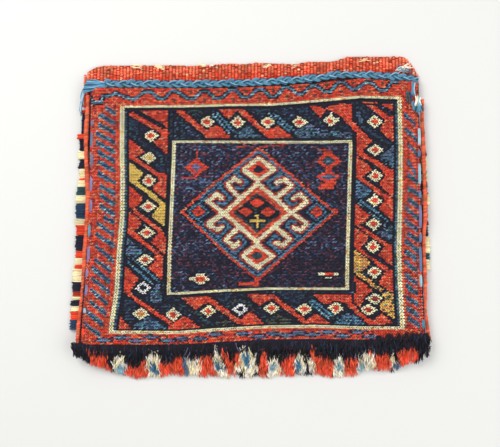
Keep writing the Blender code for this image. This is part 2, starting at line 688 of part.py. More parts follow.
def mouth_cord():
    """Plaited cord along the front's mouth edge, with its flat left end and hanging right end."""
    blue = wool("blue_plaited_cord", LIGHT_BLUE)
    radius = MOUTH_CORD_DIAMETER / 2
    y = MOUTH_Y + radius + CLEARANCE
    height = RELIEF_TOP + MOUTH_CORD_PROUD - radius
    left = -HALF_WIDTH + CORD_END_LENGTH - SIDE_CORD_DIAMETER
    right = HALF_WIDTH
    points = []
    for x in evenly(left, right, CORD_STATIONS):
        inward = min(x + HALF_WIDTH, HALF_WIDTH - x)
        points.append((*woven(x, y), height - side_height(max(inward, 0))))
    tube("mouth_cord", points, MOUTH_CORD_DIAMETER, blue)
    end_size = (CORD_END_LENGTH, MOUTH_CORD_DIAMETER * CORD_END_SPREAD, MOUTH_CORD_DIAMETER)
    end_x = left - CLEARANCE - CORD_END_LENGTH / 2
    end_height = height - side_height(CORD_END_LENGTH / 4)
    soft_pad("cord_left_end", (end_x, y + end_size[1] / 2 - radius, end_height), end_size,
             MOUTH_CORD_DIAMETER * CORD_END_ROUNDING, blue)
    tail_size = (CORD_TAIL_WIDTH, CORD_TAIL_LENGTH, MOUTH_CORD_DIAMETER)
    tail_x = HALF_WIDTH + CORD_TAIL_WIDTH / 2 + SEAM_CLEARANCE
    tail_y = y + radius - CORD_TAIL_LENGTH / 2
    soft_pad("cord_right_tail", (tail_x, tail_y, height - SIDE_DROP), tail_size,
             MOUTH_CORD_DIAMETER * CORD_END_ROUNDING, blue)


def side_cords():
    """Red wrapped cords that close the sides, and the running stitches beside them."""
    radius = SIDE_CORD_DIAMETER / 2
    height = SIDE_CORD_HEIGHT
    right_top = MOUTH_Y + MOUTH_CORD_DIAMETER - CORD_TAIL_LENGTH
    tops = {-1: MOUTH_Y - radius, 1: right_top}
    for name, side, margin in (("left", -1, LEFT_BAND_MARGIN), ("right", 1, RIGHT_BAND_MARGIN)):
        x = side * (HALF_WIDTH + radius + SEAM_CLEARANCE)
        bottom = PILE_LINE_Y
        points = [(*woven(x, y), height) for y in evenly(bottom, tops[side], SIDE_CORD_STATIONS)]
        tube(f"{name}_side_cord", points, SIDE_CORD_DIAMETER, wool("red_wrapped_cord", RED))
        thread_radius = SEAM_THREAD_DIAMETER / 2
        inward = margin - SEAM_CLEARANCE - thread_radius
        thread_x = side * (HALF_WIDTH - inward)
        base = FRONT_TOP - side_height(inward + thread_radius) + thread_radius + CLEARANCE
        length = BANDS_Y[1] - BANDS_Y[0]
        count = max(2, round(length / SEAM_STITCH_PITCH))
        points = []
        for step, y in enumerate(evenly(BANDS_Y[0], BANDS_Y[1], 2 * count + 1)):
            lift = SEAM_STITCH_LIFT * (step % 2)
            points.append((*woven(thread_x, y), base + lift))
        tube(f"{name}_seam_thread", points, SEAM_THREAD_DIAMETER, wool("light_blue_thread", LIGHT_BLUE))


def overcast_blocks():
    """Blocks of coloured overcasting along the back's side edges."""
    colours = (wool("navy_overcasting", NAVY), wool("ivory_overcasting", IVORY),
               wool("red_overcasting", RED))
    left_x = -HALF_WIDTH - BACK_LEFT_EXTRA - CLEARANCE - LEFT_BLOCK_WIDTH / 2
    right_x = HALF_WIDTH + BACK_RIGHT_EXTRA + CLEARANCE + RIGHT_BLOCK_WIDTH / 2
    left_run = (BOTTOM_Y + LEFT_BLOCKS_FROM_FOLD, MOUTH_Y - LEFT_BLOCKS_FROM_MOUTH)
    right_run = (BOTTOM_Y + RIGHT_BLOCKS_FROM_FOLD, MOUTH_Y - RIGHT_BLOCKS_FROM_MOUTH)
    sides = (("left", left_x, LEFT_BLOCK_WIDTH, LEFT_BLOCKS, left_run),
             ("right", right_x, RIGHT_BLOCK_WIDTH, RIGHT_BLOCKS, right_run))
    for name, x, width, count, run in sides:
        length = (run[1] - run[0]) / count - CLEARANCE
        for step in range(count):
            y = run[0] + (step + 0.5) * (length + CLEARANCE)
            soft_pad(f"{name}_overcast_{step + 1:02d}", (x, y, BLOCK_HEIGHT / 2 + CLEARANCE),
                     (width, length, BLOCK_HEIGHT), BLOCK_EDGE, colours[step % len(colours)])


def pile_section(bulge):
    """Points round the pile's section, from its top edge over the fold to its underside."""
    inner = FOLD_RADIUS + CLOTH_THICKNESS / 2 + CLEARANCE * 2
    outer = inner + PILE_THICKNESS + bulge
    top = GROUND_BASE
    section = [(PILE_LINE_Y, top), (PILE_LINE_Y - PILE_PROUD, top + PILE_PROUD * PILE_SHOULDER),
               (FOLD_CENTRE_Y + PILE_PROUD, top + PILE_PROUD + bulge)]
    middle = BACK_MID + FOLD_RADIUS
    for degrees in PILE_OUTER_TURNS:
        turn = math.radians(degrees)
        section.append((FOLD_CENTRE_Y - outer * math.cos(turn), middle + outer * math.sin(turn)))
    section.append((FOLD_CENTRE_Y - outer * PILE_UNDERSIDE, CLEARANCE))
    section.append((FOLD_CENTRE_Y - inner * PILE_UNDERSIDE, CLEARANCE))
    for degrees in PILE_INNER_TURNS:
        turn = math.radians(degrees)
        section.append((FOLD_CENTRE_Y - inner * math.cos(turn), middle + inner * math.sin(turn)))
    return section


def pile_band():
    """Dark pile over the fold: one section lofted from side to side."""
    stations = evenly(-HALF_WIDTH, HALF_WIDTH, PILE_STATIONS)
    rings = []
    pile = bmesh.new()
    for number, x in enumerate(stations):
        section = pile_section(PILE_WAVE * (number % 2))
        rings.append([pile.verts.new((*woven(x, y), z)) for y, z in section])
    for first, second in zip(rings, rings[1:]):
        count = len(first)
        for step in range(count):
            after = (step + 1) % count
            pile.faces.new((first[step], first[after], second[after], second[step]))
    pile.faces.new(rings[0])
    pile.faces.new(rings[-1])
    bmesh.ops.triangulate(pile, faces=pile.faces)
    bmesh.ops.recalc_face_normals(pile, faces=pile.faces)
    mesh = bpy.data.meshes.new("pile_band")
    pile.to_mesh(mesh)
    pile.free()
    mesh.materials.append(wool("navy_pile", NAVY))
    BAG.objects.link(bpy.data.objects.new("pile_band", mesh))


def pile_tufts():
    """Coloured tips of the pile, red and ivory in turn, along the outer edge of the dark pile."""
    outer = FOLD_RADIUS + CLOTH_THICKNESS / 2 + CLEARANCE * 2 + PILE_THICKNESS + PILE_WAVE
    y = FOLD_CENTRE_Y - outer - CLEARANCE - PILE_TIP_LENGTH / 2
    run = FRONT_WIDTH - 2 * TUFT_END_MARGIN
    part_width = (run - CLEARANCE * (len(TUFT_PARTS) - 1)) / sum(TUFT_PARTS)
    x = -run / 2
    colours = (wool("red_pile", RED), wool("ivory_pile", IVORY))
    for number, parts in enumerate(TUFT_PARTS):
        width = parts * part_width
        length = PILE_TIP_LENGTH
        soft_pad(f"pile_tuft_{number + 1:02d}",
                 (x + width / 2, y, PILE_TIP_HEIGHT / 2 + CLEARANCE),
                 (width, length, PILE_TIP_HEIGHT), TUFT_EDGE, colours[number % 2], TUFT_TAPER)
        x += width + CLEARANCE


def centre_on_origin():
    """Move the whole bag so that the centre of its underside is the origin."""
    bpy.context.view_layer.update()
    graph = bpy.context.evaluated_depsgraph_get()
    low = np.full(3, np.inf)
    high = np.full(3, -np.inf)
    for item in BAG.objects:
        corners = np.array([item.matrix_world @ point.co for point in item.evaluated_get(graph).data.vertices])
        low = np.minimum(low, corners.min(axis=0))
        high = np.maximum(high, corners.max(axis=0))
    shift = ((low[0] + high[0]) / 2, (low[1] + high[1]) / 2, low[2])
    for item in list(BAG.objects) + list(CUTTERS.objects):
        item.location.x -= shift[0]
        item.location.y -= shift[1]
        item.location.z -= shift[2]


woven_cloth()
side_bands()
top_band()
bottom_band()
guards()
border_field()
field()
medallion()
mouth_cord()
side_cords()
overcast_blocks()
pile_band()
pile_tufts()
centre_on_origin()
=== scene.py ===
"""Small hand-woven wool bag, lying flat: wrapped-weft face, plaited mouth cord, knotted pile.

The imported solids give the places. Every visible piece here is yarn: wrapping stitches on the face,
ribs on the back's end, cords, overcasting, running stitches and pile, laid as the weaver lays them.
Lengths are metres unless a name or comment says millimetres.
"""
import math

import bpy
import numpy as np
from bpy.props import FloatProperty, FloatVectorProperty, IntProperty, PointerProperty
from bpy.types import Operator, Panel, PropertyGroup
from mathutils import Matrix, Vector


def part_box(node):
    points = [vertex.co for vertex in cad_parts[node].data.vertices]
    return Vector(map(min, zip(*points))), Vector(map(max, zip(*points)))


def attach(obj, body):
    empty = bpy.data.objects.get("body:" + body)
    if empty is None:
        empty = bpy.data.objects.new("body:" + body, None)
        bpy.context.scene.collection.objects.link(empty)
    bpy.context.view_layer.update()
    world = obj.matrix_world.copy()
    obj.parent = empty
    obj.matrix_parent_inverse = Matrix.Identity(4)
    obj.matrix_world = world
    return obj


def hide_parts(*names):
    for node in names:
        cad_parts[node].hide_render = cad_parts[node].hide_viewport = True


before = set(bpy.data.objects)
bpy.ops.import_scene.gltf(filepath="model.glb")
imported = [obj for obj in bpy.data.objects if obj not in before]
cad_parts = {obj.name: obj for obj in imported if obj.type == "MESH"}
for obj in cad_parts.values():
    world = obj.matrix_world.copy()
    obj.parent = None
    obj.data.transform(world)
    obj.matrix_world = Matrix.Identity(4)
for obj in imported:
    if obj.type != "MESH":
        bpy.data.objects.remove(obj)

bl_info = {
    "name": "Hand-woven wool bag",
    "version": (1, 0, 0),
    "blender": (4, 5, 0),
    "location": "View3D > Sidebar > Wool bag",
    "description": "Builds a small wrapped-weft wool bag from its yarns",
    "category": "Add Mesh",
}

MM = 0.001

# The woven panel before the hand weaving pulls it out of square, from its own middle
HALF_WIDTH = 0.14325
HALF_HEIGHT = 0.1165
CLOTH = 0.0025
BACK_MID = 0.00125
FRONT_MID = 0.00975
FRONT_TOP = 0.011
SIDE_DROP = 0.00335
SIDE_DROP_WIDTH = 0.008
FOLD_RADIUS = (FRONT_MID - BACK_MID) / 2
FOLD_Y = -HALF_HEIGHT + FOLD_RADIUS + CLOTH / 2
BACK_LEFT_EXTRA = 0.0045
BACK_RIGHT_EXTRA = 0.0002

# Pattern frames as left, right, bottom and top, on the same panel
FACE = (-0.1425, 0.1425, -0.1058, 0.1165)
GUARD = (-0.11535, 0.12645, -0.0965, 0.1013)
GUARD_INSIDE = (-0.11115, 0.12225, -0.0941, 0.0989)
INNER_GUARD = (-0.07085, 0.08195, -0.0644, 0.0658)
INNER_GUARD_INSIDE = (-0.06755, 0.07865, -0.0622, 0.0636)

# Pull of the hand weaving in millimetres. Lines are shares of the half height (rows) or the half width
# (columns), and each line has its pulls at stations across it
ROW_LINES = (-1, -0.818, -0.543, 0, 0.555, 0.859, 1)
ROW_STATIONS = (-1, -0.70, -0.42, -0.17, 0.10, 0.38, 0.63, 1)
ROW_PULLS = (
    (-2.3, -2.3, -2.5, 0.0, 2.2, 2.5, 2.4, 2.2), (-2.0, -2.2, -2.5, 0.2, 2.2, 2.6, 1.4, 1.1),
    (-2.3, -2.4, -2.0, 0.3, 2.1, 2.0, 1.9, 1.9), (0, 0, 0, 0, 0, 0, 0, 0),
    (-0.5, -0.3, 0.3, 0.0, -0.3, -0.3, 0.7, 0.5), (-4.2, -4.3, -4.1, -2.9, -2.5, 1.1, 4.6, 2.9),
    (-3.7, -3.8, -4.2, -4.0, -2.4, 0.6, 4.4, 1.5))
COLUMN_LINES = (-1, -0.79, -0.483, 0.56, 0.868, 1)
COLUMN_STATIONS = (-1, -0.77, -0.515, -0.26, 0, 0.26, 0.515, 0.77, 1)
COLUMN_PULLS = (
    (-3.5, -3.0, -1.6, -0.4, 0, 0, 0, 0, 0), (-7.8, -7.2, -3.1, -1.8, 0.4, 0.0, -1.2, -1.5, -1.6),
    (-3.5, -3.5, -3.4, -3.1, -2.1, -1.1, -0.3, -0.2, 0.0),
    (-2.4, -2.4, -2.5, -1.6, -0.3, 1.0, 2.3, 2.3, 2.3), (-0.5, -0.6, -1.8, -2.2, -0.7, 0.6, 1.4, 1.3, 1.2),
    (0.8, 0.0, -0.6, -0.8, 0, 0, 0, 0, 0))

# Where the panel's middle stood when the figures below were measured
MEASURED_X = 0.00359
MEASURED_Y = -0.00237

# Dyes, in the order of the bag's dye properties
(BLACK, NAVY, INDIGO, SLATE, AUBERGINE, TEAL, OLIVE, BLUE, PALE_BLUE, LILAC,
 RED, BRICK, SALMON, IVORY, WHITE, GOLD, TAN, STEEL, PLUM) = range(19)
DYE_NAMES = ("black", "navy", "indigo", "slate", "aubergine", "teal", "olive", "blue", "pale_blue",
             "lilac", "red", "brick", "salmon", "ivory", "white", "gold", "tan", "steel", "plum")

# Grounds spun from several dyes: the share of each
FIELD_GROUND = 100
BORDER_GROUND = 101
TEAL_GROUND = 102
BLUE_GROUND = 103
GREY_GROUND = 104
OLIVE_GROUND = 105
EDGE_GROUND = 106
RED_GROUND = 107
SAND_GROUND = 108
STRIPE_GROUND = 109
LOZENGE_GROUND = 110
DEEP_GROUND = 111
GUARD_GROUND = 112
BAR_GROUND = 113
MIXTURES = {
    FIELD_GROUND: ((BLACK, 0.24), (AUBERGINE, 0.13), (PLUM, 0.12), (NAVY, 0.27), (INDIGO, 0.16),
                   (SLATE, 0.08)),
    BORDER_GROUND: ((BLACK, 0.40), (NAVY, 0.34), (INDIGO, 0.14), (TEAL, 0.08), (SLATE, 0.04)),
    TEAL_GROUND: ((BLACK, 0.32), (TEAL, 0.38), (NAVY, 0.14), (OLIVE, 0.16)),
    BLUE_GROUND: ((BLACK, 0.12), (INDIGO, 0.24), (SLATE, 0.26), (STEEL, 0.38)),
    GREY_GROUND: ((BLACK, 0.20), (TEAL, 0.24), (SLATE, 0.28), (STEEL, 0.16), (LILAC, 0.12)),
    OLIVE_GROUND: ((BLACK, 0.36), (OLIVE, 0.38), (TEAL, 0.26)),
    EDGE_GROUND: ((TEAL, 0.30), (INDIGO, 0.30), (STEEL, 0.25), (SLATE, 0.15)),
    RED_GROUND: ((BRICK, 0.18), (RED, 0.62), (SALMON, 0.20)),
    SAND_GROUND: ((SLATE, 0.06), (OLIVE, 0.12), (TAN, 0.46), (GOLD, 0.36)),
    GUARD_GROUND: ((TAN, 0.03), (GOLD, 0.05), (IVORY, 0.92)),
    STRIPE_GROUND: ((BLUE, 0.45), (STEEL, 0.35), (PALE_BLUE, 0.20)),
    LOZENGE_GROUND: ((STEEL, 0.25), (SLATE, 0.45), (LILAC, 0.30)),
    BAR_GROUND: ((STEEL, 0.52), (SLATE, 0.28), (PALE_BLUE, 0.20)),
    DEEP_GROUND: ((BLACK, 0.10), (NAVY, 0.40), (INDIGO, 0.34), (TEAL, 0.16)),
}

TURN = 2 * math.pi

# Millimetres from rib to rib and from pick to pick of the plain weave
RIB_PITCH = 2.9
PICK_PITCH = 1.15

# Wool: fibres and ply lines to a strand, size of the uneven patches, and the dull glint
FIBRE_SHARE = 2.2
PLY_SHARE = 6.3
PATCH_SIZE = 9
GLINT = 0.2

# The wave texture makes this many bands in the length of one turn
BANDS = 20


def linear(code):
    """Linear colour of an sRGB hex code."""
    parts = [int(code[place:place + 2], 16) / 255 for place in (0, 2, 4)]
    return tuple(part / 12.92 if part <= 0.04045 else ((part + 0.055) / 1.055) ** 2.4 for part in parts)


def length(label, note, millimetres):
    """A length property with its default in millimetres."""
    return FloatProperty(name=label, description=note, default=millimetres * MM, min=0, unit="LENGTH")


def dye(label, note, code):
    """A colour property with its default as an sRGB hex code."""
    return FloatVectorProperty(name=label, description=note, default=linear(code), size=3,
                               min=0, max=1, subtype="COLOR")


class BagSizes(PropertyGroup):
    """Yarn and weave sizes."""
    column_pitch: length("Column pitch", "Step from one wrapping stitch to the next", 1.9)
    row_pitch: length("Row pitch", "Step from one row of wrapping to the next", 1.3)
    stitch_rise: length("Stitch rise", "How far a wrapping stitch stands off the cloth", 0.90)
    figure_rise: length("Figure rise", "How much further the light yarns stand", 0.25)
    rib_pitch: length("Rib pitch", "Step from one rib of the back's end to the next", RIB_PITCH)
    pick_pitch: length("Pick pitch", "Step from one pick to the next on a rib", PICK_PITCH)
    puckering: length("Puckering", "How far the face waves up and down", 0.5)
    wrap_pitch: length("Wrap pitch", "Step between wraps on the side cords", 1.45)
    pile_yarn: length("Pile yarn", "Thickness of one cut pile end", 0.72)
    pile_ends: IntProperty(name="Pile ends", description="Cut ends in the pile", default=8200, min=100)


class BagDyes(PropertyGroup):
    """Dyes of the wool."""
    black: dye("Black", "Brown-black outlines", "1b191e")
    navy: dye("Navy", "Ground wool", "252639")
    indigo: dye("Indigo", "Brighter lengths of the ground wool", "2e4664")
    slate: dye("Slate", "Faded indigo", "637a9a")
    aubergine: dye("Aubergine", "Brown-purple lengths of the ground wool", "6e3c48")
    teal: dye("Teal", "Blue-green ground", "35585c")
    olive: dye("Olive", "Brown-green ground", "5b583c")
    blue: dye("Blue", "Mid blue figures and cord", "548aa8")
    pale_blue: dye("Pale blue", "Light blue cord and thread", "9ac0ce")
    lilac: dye("Lilac", "Greyed violet figures", "8080aa")
    red: dye("Red", "Madder red", "f25030")
    brick: dye("Brick", "Darker madder", "b83e26")
    salmon: dye("Salmon", "Rubbed red", "f58660")
    ivory: dye("Ivory", "Undyed wool", "fff0c2")
    white: dye("White", "Whitest undyed wool", "fffaf0")
    gold: dye("Gold", "Weld yellow", "eec766")
    tan: dye("Tan", "Orange tan", "dc9656")
    steel: dye("Steel", "Grey blue-green figures", "5c93a6")
    plum: dye("Plum", "Dark brown-purple lengths of the ground wool", "3e2630")


def palette(dyes):
    """Rows of linear colour in the order of the dye numbers."""
    return np.array([tuple(getattr(dyes, name)) for name in DYE_NAMES])


def ease(value):
    """Ease from 0 to 1 along an array."""
    value = np.clip(value, 0, 1)
    return value * value * (3 - 2 * value)


def pulled(line, station, lines, stations, table):
    """Pull at places between the tabled lines: each line's pull at the station, blended by nearness."""
    on_lines = np.stack([np.interp(station, stations, pulls) for pulls in table])
    place = np.clip(line, lines[0], lines[-1])
    upper = np.clip(np.searchsorted(lines, place), 1, len(lines) - 1)
    before, after = np.take(lines, upper - 1), np.take(lines, upper)
    low = np.take_along_axis(on_lines, (upper - 1)[None], axis=0)[0]
    high = np.take_along_axis(on_lines, upper[None], axis=0)[0]
    return (low + (high - low) * (place - before) / (after - before)) * MM


def hand_pulled(x, y):
    """Places of the square panel after the hand weaving has pulled them, from the panel's middle."""
    x, y = np.broadcast_arrays(x, y)
    across, upward = x / HALF_WIDTH, y / HALF_HEIGHT
    return (x + pulled(across, upward, COLUMN_LINES, COLUMN_STATIONS, COLUMN_PULLS),
            y + pulled(upward, across, ROW_LINES, ROW_STATIONS, ROW_PULLS))


def panel_shift():
    """From the panel's middle to the bag's, read off the right and top of the outer guard's box."""
    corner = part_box("outer_guard")[1]
    right, _ = hand_pulled(GUARD[1], np.linspace(GUARD[2], GUARD[3], 400))
    _, top = hand_pulled(np.linspace(GUARD[0], GUARD[1], 400), GUARD[3])
    return corner[0] - right.max(), corner[1] - top.max()


SHIFT_X, SHIFT_Y = panel_shift()

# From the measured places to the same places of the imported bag
NUDGE_X = SHIFT_X - MEASURED_X
NUDGE_Y = SHIFT_Y - MEASURED_Y
NUDGE = np.array([NUDGE_X, NUDGE_Y, 0.0])


def woven(x, y):
    """Where places of the square panel lie on the bag."""
    placed_x, placed_y = hand_pulled(x, y)
    return placed_x + SHIFT_X, placed_y + SHIFT_Y


def pucker(x, y, depth):
    """Soft waves of the face: a sum of three slow sines of its place, zero on average."""
    return depth * (0.45 * np.sin(x / 0.031 + y / 0.047) + 0.35 * np.sin(y / 0.019 - x / 0.052)
                    + 0.20 * np.sin(x / 0.0117 + 1.3) * np.cos(y / 0.0143))


def side_drop(x):
    """How far the face has come down at a place across the panel."""
    inward = HALF_WIDTH - np.abs(x)
    return SIDE_DROP * (1 - ease(inward / SIDE_DROP_WIDTH))


def face(x, y, depth):
    """Point of the face's upper surface for places of the square panel."""
    far_in = ease((HALF_WIDTH - np.abs(x)) / 0.02) * ease((HALF_HEIGHT - np.abs(y)) / 0.02)
    placed_x, placed_y = woven(x, y)
    height = FRONT_TOP - side_drop(x) + pucker(placed_x, placed_y, depth) * far_in
    return np.stack([placed_x, placed_y, height], axis=-1)


def node(tree, kind, settings=None, **links):
    """Add a node, set its fields and unlinked inputs, and link the rest."""
    made = tree.nodes.new(kind)
    for field, value in (settings or {}).items():
        setattr(made, field, value)
    for socket, value in links.items():
        target = made.inputs[int(socket[1:])] if socket[0] == "i" and socket[1:].isdigit() \
            else made.inputs[socket.replace("_", " ")]
        if isinstance(value, bpy.types.NodeSocket):
            tree.links.new(value, target)
        else:
            target.default_value = value
    return made


def blank_material(name):
    """A material with an empty node tree."""
    made = bpy.data.materials.new(name)
    made.use_nodes = True
    made.node_tree.nodes.clear()
    return made


def wool(name, strand=0.45, fuzz=0.45, sheen=0.04):
    """Hand-spun wool: matt, with two-ply twist lines and a haze of loose fibre that catches light.

    The strand size in millimetres sets the ply lines, the fuzz sets how uneven the dye looks.
    """
    made = blank_material(name)
    tree = made.node_tree
    place = node(tree, "ShaderNodeTexCoord").outputs["Object"]
    dyed = node(tree, "ShaderNodeAttribute", {"attribute_name": "yarn_colour"}).outputs["Color"]
    fibre = node(tree, "ShaderNodeTexNoise", {}, Vector=place, Scale=1 / (strand * FIBRE_SHARE * MM),
                 Detail=3.0, Roughness=0.6).outputs["Fac"]
    patch = node(tree, "ShaderNodeTexNoise", {}, Vector=place, Scale=1 / (PATCH_SIZE * MM),
                 Detail=2.0).outputs["Fac"]
    uneven = node(tree, "ShaderNodeMath", {"operation": "ADD"}, i0=fibre, i1=patch).outputs[0]
    level = node(tree, "ShaderNodeMapRange", {}, Value=uneven, From_Min=0.7, From_Max=1.3,
                 To_Min=1 - fuzz * 0.5, To_Max=1 + fuzz * 0.5).outputs[0]
    shade = node(tree, "ShaderNodeVectorMath", {"operation": "SCALE"}, i0=dyed, Scale=level).outputs[0]
    ply = node(tree, "ShaderNodeTexWave", {"wave_type": "BANDS", "bands_direction": "DIAGONAL"},
               Vector=place, Scale=1 / (strand * PLY_SHARE * MM), Distortion=4.0, Detail=2.0,
               Detail_Scale=1.5).outputs["Fac"]
    mixed = node(tree, "ShaderNodeMath", {"operation": "MULTIPLY_ADD"}, i0=ply, i1=0.6, i2=fibre).outputs[0]
    bump = node(tree, "ShaderNodeBump", {}, Strength=0.38, Distance=0.2 * MM, Height=mixed).outputs[0]
    shader = node(tree, "ShaderNodeBsdfPrincipled", {}, Base_Color=shade, Normal=bump, Roughness=0.92,
                  Sheen_Weight=sheen, Sheen_Roughness=0.5)
    shader.inputs["Specular IOR Level"].default_value = GLINT
    node(tree, "ShaderNodeOutputMaterial", {}, Surface=shader.outputs[0])
    return made


def plain_weave(name):
    """Weft-faced plain weave: fine picks packed over warps, so it reads as fine ribs down the cloth.

    The piece's own map gives metres across and along the strip, so the ribs follow the fold.
    """
    made = blank_material(name)
    tree = made.node_tree
    spot = node(tree, "ShaderNodeUVMap", {"uv_map": "weave"}).outputs[0]
    dyed = node(tree, "ShaderNodeAttribute", {"attribute_name": "yarn_colour"}).outputs["Color"]
    ribs = node(tree, "ShaderNodeTexWave", {"wave_type": "BANDS", "bands_direction": "X"},
                Vector=spot, Scale=TURN / (BANDS * RIB_PITCH * MM), Distortion=0.6, Detail=1.0,
                Detail_Scale=60.0).outputs["Fac"]
    picks = node(tree, "ShaderNodeTexWave", {"wave_type": "BANDS", "bands_direction": "Y"},
                 Vector=spot, Scale=TURN / (BANDS * PICK_PITCH * MM), Distortion=0.8, Detail=1.0,
                 Detail_Scale=60.0).outputs["Fac"]
    fibre = node(tree, "ShaderNodeTexNoise", {}, Vector=spot, Scale=700.0, Detail=3.0).outputs["Fac"]
    level = node(tree, "ShaderNodeMapRange", {}, Value=fibre, From_Min=0.3, From_Max=0.7,
                 To_Min=0.7, To_Max=1.2).outputs[0]
    shade = node(tree, "ShaderNodeVectorMath", {"operation": "SCALE"}, i0=dyed, Scale=level).outputs[0]
    grown = node(tree, "ShaderNodeMath", {"operation": "MULTIPLY_ADD"}, i0=picks, i1=0.5, i2=ribs).outputs[0]
    bump = node(tree, "ShaderNodeBump", {}, Strength=0.8, Distance=0.5 * MM, Height=grown).outputs[0]
    shader = node(tree, "ShaderNodeBsdfPrincipled", {}, Base_Color=shade, Normal=bump, Roughness=0.93,
                  Sheen_Weight=0.1, Sheen_Roughness=0.5)
    shader.inputs["Specular IOR Level"].default_value = GLINT
    node(tree, "ShaderNodeOutputMaterial", {}, Surface=shader.outputs[0])
    return made


def material(name, make, **options):
    """The material of a name, made once."""
    return bpy.data.materials.get(name) or make(name, **options)


def piece(name, points, faces, colours, skin, bake=None, replaces=()):
    """Mesh object from points, an array of equal-sided faces and one colour for each point.

    bake holds the flat place of each point on the piece's bake map, its own X and Y when left out.
    """
    mesh = bpy.data.meshes.new(name)
    sides = faces.shape[1]
    mesh.vertices.add(len(points))
    mesh.vertices.foreach_set("co", np.ascontiguousarray(points, dtype=np.float32).ravel())
    mesh.loops.add(faces.size)
    mesh.loops.foreach_set("vertex_index", faces.ravel().astype(np.int32))
    mesh.polygons.add(len(faces))
    mesh.polygons.foreach_set("loop_start", np.arange(0, faces.size, sides, dtype=np.int32))
    mesh.update(calc_edges=True)
    mesh.shade_smooth()
    held = mesh.color_attributes.new("yarn_colour", "FLOAT_COLOR", "POINT")
    values = np.concatenate([colours, np.ones((len(colours), 1))], axis=1)
    held.data.foreach_set("color", values.astype(np.float32).ravel())
    if bake is None:
        bake = points[:, :2]
    low = bake.min(axis=0)
    spread = (bake - low) / (bake.max(axis=0) - low).max()
    chart = mesh.uv_layers.new(name="OFBake")
    chart.data.foreach_set("uv", spread[faces.ravel()].astype(np.float32).ravel())
    mesh.materials.append(skin)
    mesh.validate()
    made = bpy.data.objects.new(name, mesh)
    bpy.context.scene.collection.objects.link(made)
    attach(made, "root")
    if replaces:
        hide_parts(*replaces)
    return made


# One stitch: share of its run, its side and its rise at each point, three rings between two ends
STITCH_POINTS = np.array([
    (-1.0, 0.0, -0.10),
    (-0.55, 0.0, 0.72), (-0.55, 0.80, -0.12), (-0.55, -0.80, -0.12),
    (0.0, 0.0, 1.0), (0.0, 1.0, -0.05), (0.0, -1.0, -0.05),
    (0.55, 0.0, 0.72), (0.55, 0.80, -0.12), (0.55, -0.80, -0.12),
    (1.0, 0.0, -0.10)])
STITCH_FACES = np.array(
    [(0, 1, 3), (0, 2, 1), (0, 3, 2)]
    + [corner for ring in (1, 4) for step in range(3) for corner in (
        (ring + step, ring + (step + 1) % 3, ring + 3 + step),
        (ring + (step + 1) % 3, ring + 3 + (step + 1) % 3, ring + 3 + step))]
    + [(10, 9, 7), (10, 7, 8), (10, 8, 9)])


def stitches(centres, runs, sides, rises, colours):
    """Copies of the stitch: each point is centre + share of run + share of side + share of rise."""
    shares = STITCH_POINTS
    points = (centres[:, None] + shares[None, :, :1] * runs[:, None]
              + shares[None, :, 1:2] * sides[:, None] + shares[None, :, 2:] * rises[:, None])
    count = len(centres)
    faces = STITCH_FACES[None] + len(shares) * np.arange(count)[:, None, None]
    inside_cell = centres[:, None, :2] + 0.62 * (points[..., :2] - centres[:, None, :2])
    return (points.reshape(-1, 3), faces.reshape(-1, 3), np.repeat(colours, len(shares), axis=0),
            inside_cell.reshape(-1, 2))


def strands(paths, radii, sides, colours):
    """Closed tubes: a ring of a few sides is carried along each path, square to its direction.

    paths is strand by station by XYZ, radii strand by station, colours one for each strand.
    """
    count, stations = paths.shape[:2]
    ahead = np.gradient(paths, axis=1)
    ahead /= np.linalg.norm(ahead, axis=2, keepdims=True)
    level = np.cross(ahead, np.array([0.0, 0.0, 1.0]))
    level += np.array([1e-6, 0.0, 0.0])
    level /= np.linalg.norm(level, axis=2, keepdims=True)
    upward = np.cross(level, ahead)
    turn = np.arange(sides) * TURN / sides + TURN / 4
    ring = (np.cos(turn)[:, None] * level[:, :, None] + np.sin(turn)[:, None] * upward[:, :, None])
    points = paths[:, :, None] + ring * radii[:, :, None, None]
    step = np.arange(sides)
    after = (step + 1) % sides
    row = np.arange(stations - 1)[:, None] * sides
    wall = np.stack([row + step, row + sides + step, row + after], axis=-1).reshape(-1, 3)
    wall2 = np.stack([row + after, row + sides + step, row + sides + after], axis=-1).reshape(-1, 3)
    fan = np.arange(1, sides - 1)
    start = np.stack([np.zeros_like(fan), fan, fan + 1], axis=1)
    end = np.stack([np.zeros_like(fan), fan + 1, fan], axis=1) + (stations - 1) * sides
    one = np.concatenate([wall, wall2, start, end])
    faces = one[None] + stations * sides * np.arange(count)[:, None, None]
    return points.reshape(-1, 3), faces.reshape(-1, 3), np.repeat(colours, stations * sides, axis=0)


